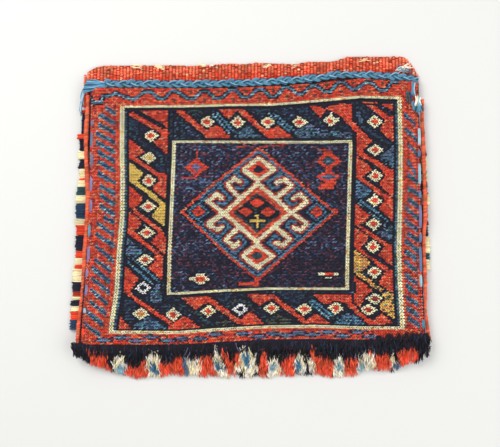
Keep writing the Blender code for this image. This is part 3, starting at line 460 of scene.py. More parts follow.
def wraps(centres, wide, high, forward, yarn, colours, around=10, sides=4, squareness=1.0):
    """Closed yarn rings round an axis: each is an ellipse, squared off by a power of its sine and
    cosine, that carries a small round section.

    wide, high and forward are the half width, half height and axis vectors of each ring.
    """
    turn = np.arange(around) * TURN / around
    cosine = np.sign(np.cos(turn)) * np.abs(np.cos(turn)) ** squareness
    sine = np.sign(np.sin(turn)) * np.abs(np.sin(turn)) ** squareness
    section = np.arange(sides) * TURN / sides
    wide_size = np.linalg.norm(wide, axis=1)[:, None, None]
    high_size = np.linalg.norm(high, axis=1)[:, None, None]
    outward = yarn * np.cos(section)
    along = yarn * np.sin(section)
    wide_part = (cosine[None, :, None] * (1 + outward[None, None] / wide_size))[..., None]
    high_part = (sine[None, :, None] * (1 + outward[None, None] / high_size))[..., None]
    points = (centres[:, None, None] + wide_part * wide[:, None, None] + high_part * high[:, None, None]
              + (along[None, None, :, None] * forward[:, None, None]))
    ring = np.arange(around)[:, None]
    step = np.arange(sides)[None]
    here = ring * sides + step
    next_step = ring * sides + (step + 1) % sides
    next_ring = ((ring + 1) % around) * sides + step
    both = ((ring + 1) % around) * sides + (step + 1) % sides
    one = np.concatenate([np.stack([here, next_ring, next_step], axis=-1).reshape(-1, 3),
                          np.stack([next_step, next_ring, both], axis=-1).reshape(-1, 3)])
    faces = one[None] + around * sides * np.arange(len(centres))[:, None, None]
    return points.reshape(-1, 3), faces.reshape(-1, 3), np.repeat(colours, around * sides, axis=0)


def gathered(parts):
    """Several meshes' points, faces and colours put end to end."""
    first = np.cumsum([0] + [len(part[0]) for part in parts[:-1]])
    return (np.concatenate([part[0] for part in parts]),
            np.concatenate([part[1] + start for part, start in zip(parts, first)]),
            np.concatenate([part[2] for part in parts]))


def edge_distance(x, y, corners, closed=True):
    """Distance from each place to the nearest point of the line through the corners."""
    start = list(corners)
    end = start[1:] + start[:1]
    if not closed:
        start, end = start[:-1], end[:-1]
    nearest = np.full(np.shape(x), np.inf)
    for (from_x, from_y), (to_x, to_y) in zip(start, end):
        run_x, run_y = to_x - from_x, to_y - from_y
        share = ((x - from_x) * run_x + (y - from_y) * run_y) / (run_x ** 2 + run_y ** 2)
        share = np.clip(share, 0, 1)
        nearest = np.minimum(nearest, np.hypot(x - from_x - share * run_x, y - from_y - share * run_y))
    return nearest


def settings(context):
    """Sizes and dyes that the panel shows."""
    return context.scene.wool_bag_sizes, context.scene.wool_bag_dyes


def table_value(table, place):
    """Value read off a table of stops."""
    stops = np.array(table)
    return np.interp(place, stops[:, 0], stops[:, 1])


def inside(x, y, corners):
    """Which places lie inside the corners, by the count of edges crossed on the way out."""
    found = np.zeros(np.shape(x), bool)
    corners = list(corners)
    for (from_x, from_y), (to_x, to_y) in zip(corners, corners[1:] + corners[:1]):
        if from_y == to_y:
            continue
        crossed = (from_y > y) != (to_y > y)
        found ^= crossed & (x < from_x + (y - from_y) * (to_x - from_x) / (to_y - from_y))
    return found


def bar(from_x, from_y, to_x, to_y, width):
    """Corners of a straight line of a width."""
    span = math.hypot(to_x - from_x, to_y - from_y)
    side_x = -(to_y - from_y) / span * width / 2
    side_y = (to_x - from_x) / span * width / 2
    return ((from_x + side_x, from_y + side_y), (from_x - side_x, from_y - side_y),
            (to_x - side_x, to_y - side_y), (to_x + side_x, to_y + side_y))


def diamond(x, y, half_width, half_height):
    """Corners of an upright diamond."""
    return ((x - half_width, y), (x, y - half_height), (x + half_width, y), (x, y + half_height))


class Face:
    """Dye of every stitch of the face. Places are millimetres from the middle of the bag."""

    def __init__(self, x, y, column, row):
        self.x = x
        self.y = y
        self.across = x / column
        self.up = y / row
        self.column = column
        self.row = row
        self.dye = np.full(x.shape, BLACK)

    def figure(self, colour, shapes, rim=1.0, rim_colour=BLACK):
        """Fill the joined shapes and edge them with a rim measured in stitches."""
        solid = np.zeros(self.x.shape, bool)
        near = np.zeros(self.x.shape, bool)
        for corners in shapes:
            solid |= inside(self.x, self.y, corners)
            if rim:
                counted = [(x / self.column, y / self.row) for x, y in corners]
                near |= edge_distance(self.across, self.up, counted) < rim
        self.dye[near & ~solid] = rim_colour
        self.dye[solid] = colour

    def line(self, colour, corners, width, within):
        """Work a line of a width through the corners, where there is room for it."""
        found = edge_distance(self.x, self.y, corners, closed=False) < width / 2
        self.dye[found & within] = colour

    def small_diamond(self, x, y, core, ring=IVORY, half=(7.0, 5.6), core_half=(3.6, 2.7)):
        """A ringed diamond with a core and a dark edge."""
        self.figure(ring, [diamond(x, y, *half)])
        self.figure(core, [diamond(x, y, *core_half)], rim=0)


# Figures of the border: dye, then the corners of the shapes that join into one figure, millimetres
BORDER_FIGURES = (
    (TEAL_GROUND, [[(-56, 92), (-38, 92), (-44, 84), (-52, 82)]]),
    (DEEP_GROUND, [bar(-68.7, 64, -68.7, 91, 1.4)]),
    (DEEP_GROUND, [[(-106, 84), (-97, 80), (-96, 66), (-106, 70)]]),
    (DEEP_GROUND, [bar(-104.7, 70, -72, 46.7, 3.2)]),
    (DEEP_GROUND, [[(-1, 88), (5, 84), (4, 78), (-2, 82)]]),
    (BLUE_GROUND, [[(92, 90), (95, 88), (98, 76), (93, 78)]]),
    (DEEP_GROUND, [bar(96, 76, 123, 58, 3.0)]),
    (GREY_GROUND, [[(123, 59), (111, 50), (113, 41), (123, 39)]]),
    (DEEP_GROUND, [[(-85, 44), (-76, 48), (-73, 36), (-79, 37)]]),
    (RED_GROUND, [[(-96.5, 90), (-71, 90), (-71, 74.7)]]),
    (RED_GROUND, [bar(-104, 88, -71.5, 68, 4.2), [(-71.5, 74), (-84, 62), (-72.5, 52)],
                  [(-80, 72), (-71.5, 74), (-71.5, 66)]]),
    (RED_GROUND, [[(-105, 65), (-91, 54), (-105, 45.5)], bar(-104, 50, -77, 32.5, 3.8),
                  [(-78, 35), (-72.5, 34.5), (-72.5, 12), (-84, 21.5)]]),
    (GOLD, [[(-105, 46), (-92, 34.5), (-97, 28.5), (-105, 27.5)], bar(-103, 30.5, -75, 8.5, 3.6),
            [(-76, 10.5), (-72.5, 9), (-72.5, -12), (-84.5, -2)]]),
    (RED_GROUND, [[(-104, 25), (-91.5, 13.5), (-97, 6.5), (-104, 4.5)], bar(-102, 5, -76, -15, 3.4),
                  [(-77, -14), (-72.5, -16), (-73, -35), (-85, -25.5)]]),
    (GREY_GROUND, [[(-105, -20), (-91, -33), (-98, -38), (-106, -38)]]),
    (RED_GROUND, [[(-104, 3), (-92, -7.5), (-97, -14), (-104, -17)], bar(-102, -15.5, -78, -34.5, 3.6),
                  [(-79, -33), (-73.5, -36.5), (-74.5, -59), (-88, -47)]]),
    (STRIPE_GROUND, [bar(-100, -38, -77.5, -57.5, 1.9), bar(-104, -41, -81, -61, 1.9)]),
    (GREY_GROUND, [[(-76, -57), (-86, -65), (-83, -76), (-75, -76)]]),
    (DEEP_GROUND, [[(-106, -68), (-96, -75), (-95, -90), (-106, -90)]]),
    (AUBERGINE, [bar(-108.5, -68, -109.5, -88, 1.8)]),
    (RED_GROUND, [[(-109.5, -86), (-100, -97.8), (-111, -97.8)]]),
    (BLUE_GROUND, [[(-98, -94.5), (-84.5, -86.5), (-67, -98), (-97, -98)]]),
    (TEAL_GROUND, [[(-60, -77), (-48, -84), (-40, -90), (-42, -95), (-30, -94), (-44, -80)]]),
    (OLIVE_GROUND, [[(-30, -90), (-18, -89), (-14, -94), (-28, -94.5)]]),
    (TEAL_GROUND, [[(-18, -74), (-2, -71), (4, -82), (-6, -88)]]),
    (OLIVE_GROUND, [[(12, -90), (26, -84), (38, -92), (16, -94)]]),
    (DEEP_GROUND, [[(-33, -68), (-14, -67), (-22, -76)]]),
    (DEEP_GROUND, [[(22, -66), (48, -65), (42, -78), (34, -76)]]),
    (RED_GROUND, [[(-107, -43), (-94.5, -55.5), (-100, -64), (-107, -67)], bar(-106, -65.5, -66, -93.5, 3.2),
                  [(-70, -98), (-66, -91.5), (-55, -86.5), (-41.5, -97)]]),
    (RED_GROUND, [[(-58.5, -71.5), (-36, -69.5), (-32, -72), (-46, -81.5)], bar(-36, -72, -9, -92, 4.2),
                  [(-11, -93.5), (-9, -90), (0, -82), (12, -93.5)]]),
    (RED_GROUND, [[(-3.5, -68.5), (18, -68), (21, -70.5), (7, -78)], bar(18, -70, 45, -90.5, 4.0),
                  [(43, -92.5), (55, -84), (68, -93)]]),
    (STRIPE_GROUND, [bar(52, -73, 69, -86.5, 1.9), bar(49, -74.5, 66, -88.5, 1.9)]),
    (BLUE_GROUND, [[(70, -94), (73, -87), (82, -84), (89, -85), (99, -95)]]),
    (RED_GROUND, [[(88, -52), (103, -65), (96, -71), (92, -81), (88, -81)]]),
    (RED_GROUND, [[(53, -69), (84.5, -69), (84.5, -79), (76, -74), (62, -77)], bar(83, -77, 100, -91, 4.2),
                  [(98, -93.5), (109.5, -84.5), (121, -93)]]),
    (RED_GROUND, [bar(-63, 90.5, -38, 70, 4.6), [(-41, 72.5), (-38.5, 66.2), (-17.5, 66.2), (-27.5, 77.5)]]),
    (STRIPE_GROUND, [bar(-29.5, 88, -13.5, 70.5, 1.9), bar(-33.5, 87, -17.5, 70, 1.9)]),
    (GREY_GROUND, [[(-15, 65.8), (-13, 69), (-3, 76.5), (9, 67.5), (8.5, 65.8)]]),
    (RED_GROUND, [[(-28.5, 91.5), (-9, 92.5), (-19, 82)], bar(-9.5, 91, 14, 70, 4.6),
                  [(12, 71), (14.5, 66), (36.5, 66.3), (24.5, 77)]]),
    (STRIPE_GROUND, [bar(19.5, 88, 38, 72, 1.9), bar(15.5, 87, 34, 71, 1.9)]),
    (GREY_GROUND, [[(38, 71), (50, 79), (60, 73), (88, 70.5), (88, 66), (40, 65.5)]]),
    (RED_GROUND, [[(51, 95), (68, 92), (60, 84)]]),
    (RED_GROUND, [[(64, 92.5), (80, 96.5), (87.5, 95), (87.5, 75), (80, 83), (73, 88)],
                  bar(82, 84, 95, 70, 5.0), [(91, 76), (105, 63.5), (98, 56), (91, 51)],
                  bar(92, 54, 119, 37, 4.0),
                  [(115, 39), (123, 38), (123, 13), (111, 24.5)]]),
    (RED_GROUND, [bar(103, 96, 123, 79.3, 4.6), [(124, 86), (117, 82), (111, 73), (124, 61.5)]]),
    (RED_GROUND, [bar(97.5, 98.4, 110.7, 98.4, 3.6)]),
    (BLACK, [bar(112, 98.6, 128, 98.6, 4.4)]),
    (RED_GROUND, [[(113.8, 95.6), (125.4, 95.6), (125.4, 88.5)]]),
    (RED_GROUND, [[(91.5, 50), (104.5, 39), (98, 32.5), (91, 30.5)], bar(92, 31.5, 119, 12.5, 4.0),
                  [(117, 15), (123, 12), (122, -8.5), (110, 4.5)]]),
    (BLUE_GROUND, [[(90.5, 29), (104, 20), (97, 13.5), (90, 11.5)]]),
    (STRIPE_GROUND, [bar(93, 12, 117.5, -6.5, 1.9), bar(90.5, 9.5, 115, -10, 1.9)]),
    (GREY_GROUND, [[(121, -9.5), (107, -16), (113, -21.5), (121, -23)]]),
    (RED_GROUND, [[(90, 8), (102, -1.5), (97, -8), (89, -10)], bar(91, -10.5, 117, -27.5, 3.4),
                  [(115, -26.5), (121, -25.5), (121, -46), (108.5, -35)]]),
    (RED_GROUND, [[(89.5, -12), (101, -21), (96, -27.5), (88, -29)], bar(90, -29.5, 116, -48.5, 3.6),
                  [(114, -47.5), (121.5, -48.5), (121, -69), (108, -58.5)]]),
    (SAND_GROUND, [[(88.5, -31), (102, -41), (96, -48), (88, -50)], bar(89, -50, 113, -67, 3.2)]),
    (SAND_GROUND, [[(112, -66), (122, -68), (121.5, -90), (108, -80)]]),
)
BORDER_DIAMONDS = (
    (-85.8, 67.8, RED), (-87.5, 48.6, GOLD), (-87.2, 28.6, RED), (-87.5, 6.2, RED), (-88.2, -16.2, RED),
    (-88.8, -39.4, RED), (-90.2, -63, BLACK), (-92.2, -84.6, TAN), (-64.8, -85.3, RED), (-35.5, -82.4, RED),
    (-8.3, -81, BLACK), (17.8, -80.2, RED), (45, -80.8, RED), (71.8, -80, RED), (99.2, -81.3, BRICK),
    (104.3, -72, BRICK), (104.6, -49.8, RED), (104, -28.2, RED), (104.8, -9, RED), (106.1, 11.3, RED),
    (107.3, 32.8, RED), (107.3, 55.2, RED), (107.6, 80.3, RED), (-37.5, 80, RED), (-11, 79.6, RED),
    (15, 79.4, RED), (42, 80, RED), (69.2, 81.2, RED))

# The medallion: its outline, the hooked figure's lines and the blue lines that run in its hooks
MEDALLION = (
    (-59.5, 1.5), (-40, 19.5), (-20, 36), (7.5, 58), (40, 29.5), (73, 1), (40, -27.5), (6.2, -57.2),
    (-20, -36), (-36, -20.5))
CENTRE = ((6.5, 26), (-22.5, 0.7), (5.2, -24), (34.5, 1.2))
CREST_TOP = ((6.8, 48), (-6, 38), (6.8, 29), (20.3, 38))
CREST_BOTTOM = ((5.3, -26.5), (-6.8, -36), (5.8, -45.5), (19, -36))
HOOKS = (
    ((-9, 13.5), (-20, 24.5), (-13.7, 30.5), (-9, 27.3)),
    ((-25, 2), (-36.3, 10.5), (-29, 16.8), (-24.3, 13.5)),
    ((-24, -0.5), (-36.5, -8.8), (-28.2, -14.3), (-24.6, -11.6)),
    ((-10, -11.8), (-21.3, -22.2), (-13.7, -28.6), (-10.3, -24.9)),
    ((22, 14), (35.5, 24), (29.5, 29.8), (22.2, 27)),
    ((37, 2), (48.3, 10.5), (42, 16.8), (36.8, 13.3)),
    ((36, 0), (48.3, -8.6), (42.5, -14), (36.6, -11.9)),
    ((21, -11.5), (33.6, -21.5), (27.6, -27.2), (21.4, -25)),
)
HOOK_BLUES = (
    ((-11, 33.5), (-2.5, 27), (-8, 21.5), (-13, 23)),
    ((-25, 21.5), (-17, 13), (-23, 8), (-28, 9.5)),
    ((-27, -20), (-17.5, -11), (-23, -6), (-27.5, -8.5)),
    ((-14, -34), (-4, -24.5), (-9, -18.5), (-13.5, -21)),
    ((26, 34), (14, 27.5), (19, 21.5), (24.5, 23)),
    ((38, 20.5), (29, 12.5), (34, 8), (39, 9)),
    ((41, -19.5), (30, -10.5), (34.5, -6), (38.5, -7.5)),
    ((26, -33.5), (15, -25), (20.5, -19), (25, -21)),
)
SIDE_DIAMONDS = ((-44.6, 2), (56.4, 1.5))

# Depths in from the medallion's outline at which the dye changes, millimetres
MEDALLION_DEPTHS = ((-1.2, BLACK), (-0.4, RED_GROUND), (1.9, BLUE), (3.7, NAVY), (4.9, BLUE), (6.6, NAVY))
HOOK_ROOM = 6
HOOK_BLUE_WIDTH = 2.5

# Half widths of the ivory lines of the hooked figure, and of the dark red under them
HOOK_HALF = 1.78
HOOK_EDGE = 3.2

# Zig-zag of the top band, bars and lozenges of the others, millimetres
WAVE_START = (
    (-140, 103), (-136.5, 97.2), (-129.5, 97.2), (-128.3, 102.7), (-124, 102.7), (-117, 105.4),
    (-108.5, 101.9), (-101.5, 99.6), (-91, 106.8), (-87, 106.8), (-79, 100.3), (-75.5, 100))
WAVE_PEAKS = (
    (-66, 107), (-40, 107), (-15, 108.3), (8, 108.5), (31, 110.5), (55, 112), (79, 115), (103, 114.9),
    (125.4, 115.5))
WAVE_TROUGHS = (
    (-52, 100.3), (-28, 101), (-4, 101.6), (19.5, 102.3), (43, 105), (66.5, 107), (90, 109), (115, 107.9))
WAVE_FLAT = 2.6
WAVE_EDGE = 2.0
WAVE_HALF = 1.15
WAVE_SPOT = (2.2, 1.4)
SPOT_UNDER_PEAK = 8.2
SPOT_OVER_TROUGH = 6.0
LEFT_BARS = (
    (-126, 93.5, -118, 88), (-131, 86, -118, 79), (-132, 78, -118, 70.5), (-132.5, 70, -118, 62),
    (-133, 62, -118, 54), (-132, 53.5, -118, 46), (-131, 45, -117, 37), (-132, 36, -117, 27),
    (-129.5, 24.5, -116.5, 17), (-129, 16, -116.5, 8.5), (-130, 8, -116.5, -0.5), (-124.5, -3.5, -117, -7),
    (-130.5, -8, -117.5, -17), (-131, -17.5, -117.5, -26.5), (-131.5, -27.5, -118, -39),
    (-132.5, -38, -119, -48), (-133.5, -46.5, -119.5, -57), (-134, -55.5, -120.5, -66),
    (-134.5, -64.5, -122, -75), (-136, -74, -123, -83.5), (-137.5, -83, -125, -93),
    (-139.5, -93, -127, -102))
RIGHT_BARS = (
    (133.5, 86, 143, 77), (133, 74.5, 143.5, 64), (135, 61.5, 144.5, 50), (134.5, 47.3, 141.5, 34.8),
    (133.8, 33.4, 144, 27.6), (133.8, 22.4, 143.6, 17.2), (133.2, 13.2, 144, 6.2), (132.7, 3.9, 144, -4.2),
    (132.1, -6.5, 143.3, -14), (132.1, -15.7, 143.3, -23.2), (131.5, -23.8, 142.2, -31.3),
    (130.9, -32.5, 141.8, -39.4), (130.6, -41.2, 141.5, -48.7), (130.6, -52.3, 141, -59.6),
    (130.6, -60.8, 141, -68.1), (130.8, -70.5, 141.2, -77.7), (131, -79.6, 141.5, -87),
    (131, -87.6, 141.5, -95))

# Half widths and dyes of a bar from its edge to its core, and the dark red line beside the guard
LEFT_BAR_HALVES = ((2.3, BAR_GROUND), (0.75, INDIGO))
LEFT_BAR_LONGER = 1.8
RIGHT_BAR_HALVES = ((2.6, LOZENGE_GROUND), (0.85, TEAL))
BAND_LINE = (4.2, 6.1)
LOZENGES = (
    (-108, -104.4), (-83.5, -103.7), (-57, -105.5), (-30, -101.8), (-6, -101), (18.5, -101.1), (41, -100.6),
    (65, -99.7), (90, -99.6), (-123, -106.6), (-96, -107.2), (-70, -106.8), (-43.5, -105.4), (7, -103.6),
    (30.5, -102.7), (52, -102), (77, -103.2), (101, -103.8))
LOZENGE = (7.6, 1.9)
LOZENGE_RIM = 0.42

# Dark lines along the border's edges, millimetres: at the sides, their blue-green half, top, other edges
SIDE_LINE = 4.0
SIDE_LINE_OUTER = 2.0
TOP_LINE = 2.6
THIN_LINE = 1.3


def wave_line():
    """Corners of the zig-zag: peaks and troughs in turn, each a short level stretch."""
    turns = sorted(WAVE_PEAKS + WAVE_TROUGHS)
    return list(WAVE_START) + [(x + side * WAVE_FLAT, y) for x, y in turns for side in (-1, 1)]


def work_bands(work, frames):
    """Red bands at the edges of the face with their zig-zag, bars and lozenges."""
    left, right, bottom, top = (frames["x"] < GUARD[0], frames["x"] > GUARD[1],
                                frames["y"] < GUARD[2], frames["y"] > GUARD[3])
    work.dye[left | right | bottom | top] = RED_GROUND
    sides = ((LEFT_BARS, left & ~top, LEFT_BAR_LONGER, LEFT_BAR_HALVES),
             (RIGHT_BARS, right & ~top & ~bottom, 0, RIGHT_BAR_HALVES))
    for bars, side, longer, halves in sides:
        for start_x, start_y, end_x, end_y in bars:
            share = (work.x - start_x) / (end_x - start_x)
            fall = work.y - (start_y + (end_y - start_y) * share)
            reach = side & (work.x > start_x) & (work.x < end_x + longer)
            for half, colour in halves:
                work.dye[reach & (np.abs(fall) < half)] = colour
    outward = np.maximum(GUARD[0] - frames["x"], frames["x"] - GUARD[1])
    lined = (outward > BAND_LINE[0] * MM) & (outward < BAND_LINE[1] * MM) & ~top & ~bottom
    work.dye[lined & (work.dye == RED_GROUND)] = BRICK
    distance = edge_distance(work.x, work.y, wave_line(), closed=False)
    work.dye[top & (distance < WAVE_EDGE)] = BLACK
    work.dye[top & (distance < WAVE_HALF)] = BAR_GROUND
    for x, y in WAVE_PEAKS[:-1]:
        work.figure(OLIVE, [diamond(x, y - SPOT_UNDER_PEAK, *WAVE_SPOT)], rim=0)
    for x, y in WAVE_TROUGHS:
        work.figure(OLIVE, [diamond(x, y + SPOT_OVER_TROUGH, *WAVE_SPOT)], rim=0)
    for x, y in LOZENGES:
        work.figure(LOZENGE_GROUND, [diamond(x, y, *LOZENGE)], rim=LOZENGE_RIM, rim_colour=NAVY)


def work_border(work, frames):
    """Ground, figures and small diamonds between the two ivory guards."""
    within = ((frames["x"] > GUARD_INSIDE[0]) & (frames["x"] < GUARD_INSIDE[1])
              & (frames["y"] > GUARD_INSIDE[2]) & (frames["y"] < GUARD_INSIDE[3]))
    kept = work.dye.copy()
    work.dye[within] = BORDER_GROUND
    for colour, shapes in BORDER_FIGURES:
        work.figure(colour, shapes)
    for x, y, core in BORDER_DIAMONDS:
        ring = WHITE if core == BLACK else IVORY
        work.small_diamond(x, y, core, ring=ring)
    work.figure(IVORY, [bar(70, 82, 77, 82.6, 2.2), bar(69.5, 84, 70, 88.5, 2.2)], rim=0)
    for rim in (frames["x"] - GUARD_INSIDE[0], GUARD_INSIDE[1] - frames["x"]):
        work.dye[within & (rim < SIDE_LINE * MM)] = BLACK
        work.dye[within & (rim < SIDE_LINE_OUTER * MM)] = EDGE_GROUND
    work.dye[within & (GUARD_INSIDE[3] - frames["y"] < TOP_LINE * MM)] = BLACK
    work.dye[within & (frames["y"] - GUARD_INSIDE[2] < THIN_LINE * MM)] = BLACK
    near = np.maximum(np.maximum(INNER_GUARD[0] - frames["x"], frames["x"] - INNER_GUARD[1]),
                      np.maximum(INNER_GUARD[2] - frames["y"], frames["y"] - INNER_GUARD[3]))
    work.dye[within & (near < THIN_LINE * MM)] = BLACK
    work.dye[~within] = kept[~within]


def work_field(work, frames):
    """Field, its small motifs and the medallion."""
    within = ((frames["x"] > INNER_GUARD_INSIDE[0]) & (frames["x"] < INNER_GUARD_INSIDE[1])
              & (frames["y"] > INNER_GUARD_INSIDE[2]) & (frames["y"] < INNER_GUARD_INSIDE[3]))
    kept = work.dye.copy()
    work.dye[within] = FIELD_GROUND
    work.figure(RED, [diamond(-46.5, 40, 10.5, 8.2), bar(-45.8, 46, -45.8, 55, 3.0),
                      bar(-59.5, 31, -46, 31, 1.8), bar(-46.5, 34, -46.5, 30.3, 3.0)], rim=0)
    work.figure(LILAC, [diamond(-46.5, 40, 5.4, 4.0)], rim=0)
    work.figure(BRICK, [bar(-42.5, 51.5, -36.5, 51.5, 1.5)], rim=0)
    work.figure(RED, [diamond(67, 45.6, 11.5, 8.0), diamond(67, 31.8, 11, 6.0), bar(67, 36, 67, 40, 5),
                      [(60, 25.5), (66, 28), (75, 29), (70, 20.5), (57, 20.5)]], rim=0)
    work.figure(TEAL, [diamond(67, 45.6, 6.2, 4.4)], rim=0)
    work.figure(SLATE, [diamond(67, 31.8, 6.6, 2.8), diamond(67, 45.6, 2.6, 2.0)], rim=0)
    work.figure(BRICK, [bar(58, 55, 66, 55, 1.5), bar(64, 53, 70, 53.4, 2.8)], rim=0)
    work.figure(BRICK, [bar(-13, 57.8, -2, 58.8, 1.6), bar(8, 57.8, 33, 60.2, 1.6),
                        bar(48.3, 19.5, 49.2, 26.5, 2.4)], rim=0)
    work.figure(IVORY, [bar(-52, -55.6, -34, -55.6, 3.2), bar(-42.6, -51.2, -42.6, -59.6, 7.4)])
    work.figure(RED, [bar(-46.9, -55.6, -38.4, -55.6, 4.4)], rim=0)
    work.figure(IVORY, [bar(57.4, -51.4, 74, -51.4, 2.6), bar(62.8, -54.3, 69.2, -54.3, 1.6)])
    work.figure(RED, [bar(62.8, -51.8, 70, -51.8, 2.6)], rim=0)
    inner = inside(work.x, work.y, MEDALLION)
    depth = edge_distance(work.x, work.y, MEDALLION) * np.where(inner, 1, -1)
    for limit, colour in MEDALLION_DEPTHS:
        work.dye[(depth > limit) & within] = colour
    for line in HOOK_BLUES:
        work.line(BLUE, line, HOOK_BLUE_WIDTH, depth > HOOK_ROOM)
    for x, y in SIDE_DIAMONDS:
        work.figure(BLUE, [diamond(x, y, 9.8, 8.4)])
        work.figure(NAVY, [diamond(x, y, 7.4, 6.2)], rim=0)
        work.figure(RED, [diamond(x, y, 6.2, 5.0)], rim=0)
        work.figure(BRICK, [diamond(x, y, 2.6, 2.0)], rim=0)
    ivory = np.minimum.reduce(
        [edge_distance(work.x, work.y, line) for line in (CENTRE, CREST_TOP, CREST_BOTTOM)]
        + [edge_distance(work.x, work.y, line, closed=False) for line in HOOKS])
    work.dye[ivory < HOOK_EDGE] = BRICK
    work.dye[inside(work.x, work.y, CENTRE)] = RED_GROUND
    for line, core in ((CREST_TOP, NAVY), (CREST_BOTTOM, TEAL)):
        middle_x, middle_y = np.mean(line, axis=0)
        work.dye[inside(work.x, work.y, line)] = RED
        work.figure(core, [diamond(middle_x, middle_y, 5.0, 3.8)], rim=0)
    work.figure(TEAL_GROUND, [diamond(5.8, 0.8, 20.5, 17.4)], rim=0)
    for x, y in ((6, 9.2), (-3.8, 1.8), (14.8, 1.6)):
        work.figure(RED, [diamond(x, y, 6.4, 4.6)])
    work.figure(GOLD, [bar(-0.5, -6.1, 12, -6.1, 2.8), bar(5.7, -1.4, 5.7, -13, 3.2)])
    work.dye[ivory < HOOK_HALF] = IVORY
    work.figure(RED, [bar(72.4, -1.5, 72.8, 4, 2.4), bar(-9.5, -59.6, 7, -60, 2.8),
                      bar(5.6, -55.5, 5.6, -60, 3.2)], rim=0)
    work.dye[~within] = kept[~within]


# The palest a yarn gets, linear
FULL_WHITE = 0.97

# Painted light and shade of pale, warm and dark yarns: rows lean left and right by turns and catch the light
# unlike each other, so one row is painted at the first tone and the next row is painted darker by the second
PALE_ROW_LIGHTING = (1.18, 0.14)
WARM_ROW_LIGHTING = (1.24, 0.36)
DARK_ROW_LIGHTING = (1.30, 0.58)
BASE_TONE = 0.80
LENGTH_TONE = 0.16
GRAIN_TONE = 0.42
# Painted shade between the beads of the guards: how much darker every second column is painted
BEAD_GAP_SHADE = 0.14
SHADOWED_SHARE = 0.14
PALE_SHADOW = 0.86
DEEP_SHADOW = 0.45
WARM_DRIFT = (0.10, 0.55, 0.25)
WARM_BALANCE = 0.35

# Stitches: unevenness and sinking in millimetres, then shares of the step from one to the next
COLUMN_JITTER = 0.10
ROW_JITTER = 0.07
SUNK = 0.15
PROBE = 0.4
ROW_STAGGER = 0.16
STITCH_LEAN = 0.52
STITCH_RUN = 0.72
STITCH_SIDE = 0.52
SIZE_JITTER = 0.07


def graded(edges, pitch):
    """Middles and steps of stitches between each two edges, as near the pitch as whole numbers allow."""
    middles, steps = [], []
    for start, end in zip(edges, edges[1:]):
        count = max(1, round((end - start) / pitch))
        step = (end - start) / count
        middles.append(start + step * (np.arange(count) + 0.5))
        steps.append(np.full(count, step))
    return np.concatenate(middles), np.concatenate(steps)


def boxed(x, y, frame_edges):
    """Which places lie in a frame's left, right, bottom and top."""
    left, right, bottom, top = frame_edges
    return (x > left) & (x < right) & (y > bottom) & (y < top)


def face_plan(sizes):
    """Grid of stitches: places on the panel, local steps, dye and zone of each, row by column."""
    column_edges = sorted(FACE[:2] + GUARD[:2] + GUARD_INSIDE[:2] + INNER_GUARD[:2] + INNER_GUARD_INSIDE[:2])
    row_edges = sorted(FACE[2:] + GUARD[2:] + GUARD_INSIDE[2:] + INNER_GUARD[2:] + INNER_GUARD_INSIDE[2:])
    columns, column_steps = graded(column_edges, sizes.column_pitch)
    rows, row_steps = graded(row_edges, sizes.row_pitch)
    x, y = np.meshgrid(columns, rows)
    placed_x, placed_y = woven(x, y)
    work = Face((placed_x - NUDGE_X) / MM, (placed_y - NUDGE_Y) / MM, sizes.column_pitch / MM,
                sizes.row_pitch / MM)
    frames = {"x": x, "y": y}
    guard = boxed(x, y, GUARD)
    border = boxed(x, y, GUARD_INSIDE)
    inner = boxed(x, y, INNER_GUARD)
    core = boxed(x, y, INNER_GUARD_INSIDE)
    work_bands(work, frames)
    work.dye[guard] = GUARD_GROUND
    work_border(work, frames)
    work.dye[inner] = GUARD_GROUND
    work_field(work, frames)
    zone = np.full(x.shape, "border", dtype="<U12")
    zone[(x < GUARD[0]) & ~guard] = "left"
    zone[(x > GUARD[1]) & ~guard] = "right"
    zone[y > GUARD[3]] = "top"
    zone[y < GUARD[2]] = "bottom"
    zone[guard & ~border] = "outer_guard"
    zone[border & ((x < INNER_GUARD[0]) | (x > INNER_GUARD[1]))] = "columns"
    zone[inner] = "inner_guard"
    zone[core] = "field"
    zone[core & inside(work.x, work.y, MEDALLION)] = "medallion"
    return {"x": x, "y": y, "plan": work.dye, "zone": zone, "measured": (work.x, work.y),
            "column_step": column_steps[None, :, None], "row_step": row_steps[:, None, None]}


def blueness(x, y):
    """How much bluer the field's wool is at measured places: a slow slope and two rows of each kind."""
    slope = 0.06 * (y / 60 - x / 75)
    bluer = 0.13 * np.exp(-((np.abs(y) - 27) / 6) ** 2)
    darker = 0.18 * np.exp(-((y + 41.5) / 5) ** 2)
    return slope + bluer - darker


def spun(rng, shape, reach):
    """Uneven dye along a yarn: random values averaged along the rows, as places from 0 to 1."""
    values = rng.random((shape[0], shape[1] + reach))
    total = np.cumsum(values, axis=1)
    mean = (total[:, reach:] - total[:, :-reach]) / reach
    order = np.argsort(mean, axis=None)
    ranked = np.empty(mean.size)
    ranked[order] = np.linspace(0, 1, mean.size)
    return ranked.reshape(shape)


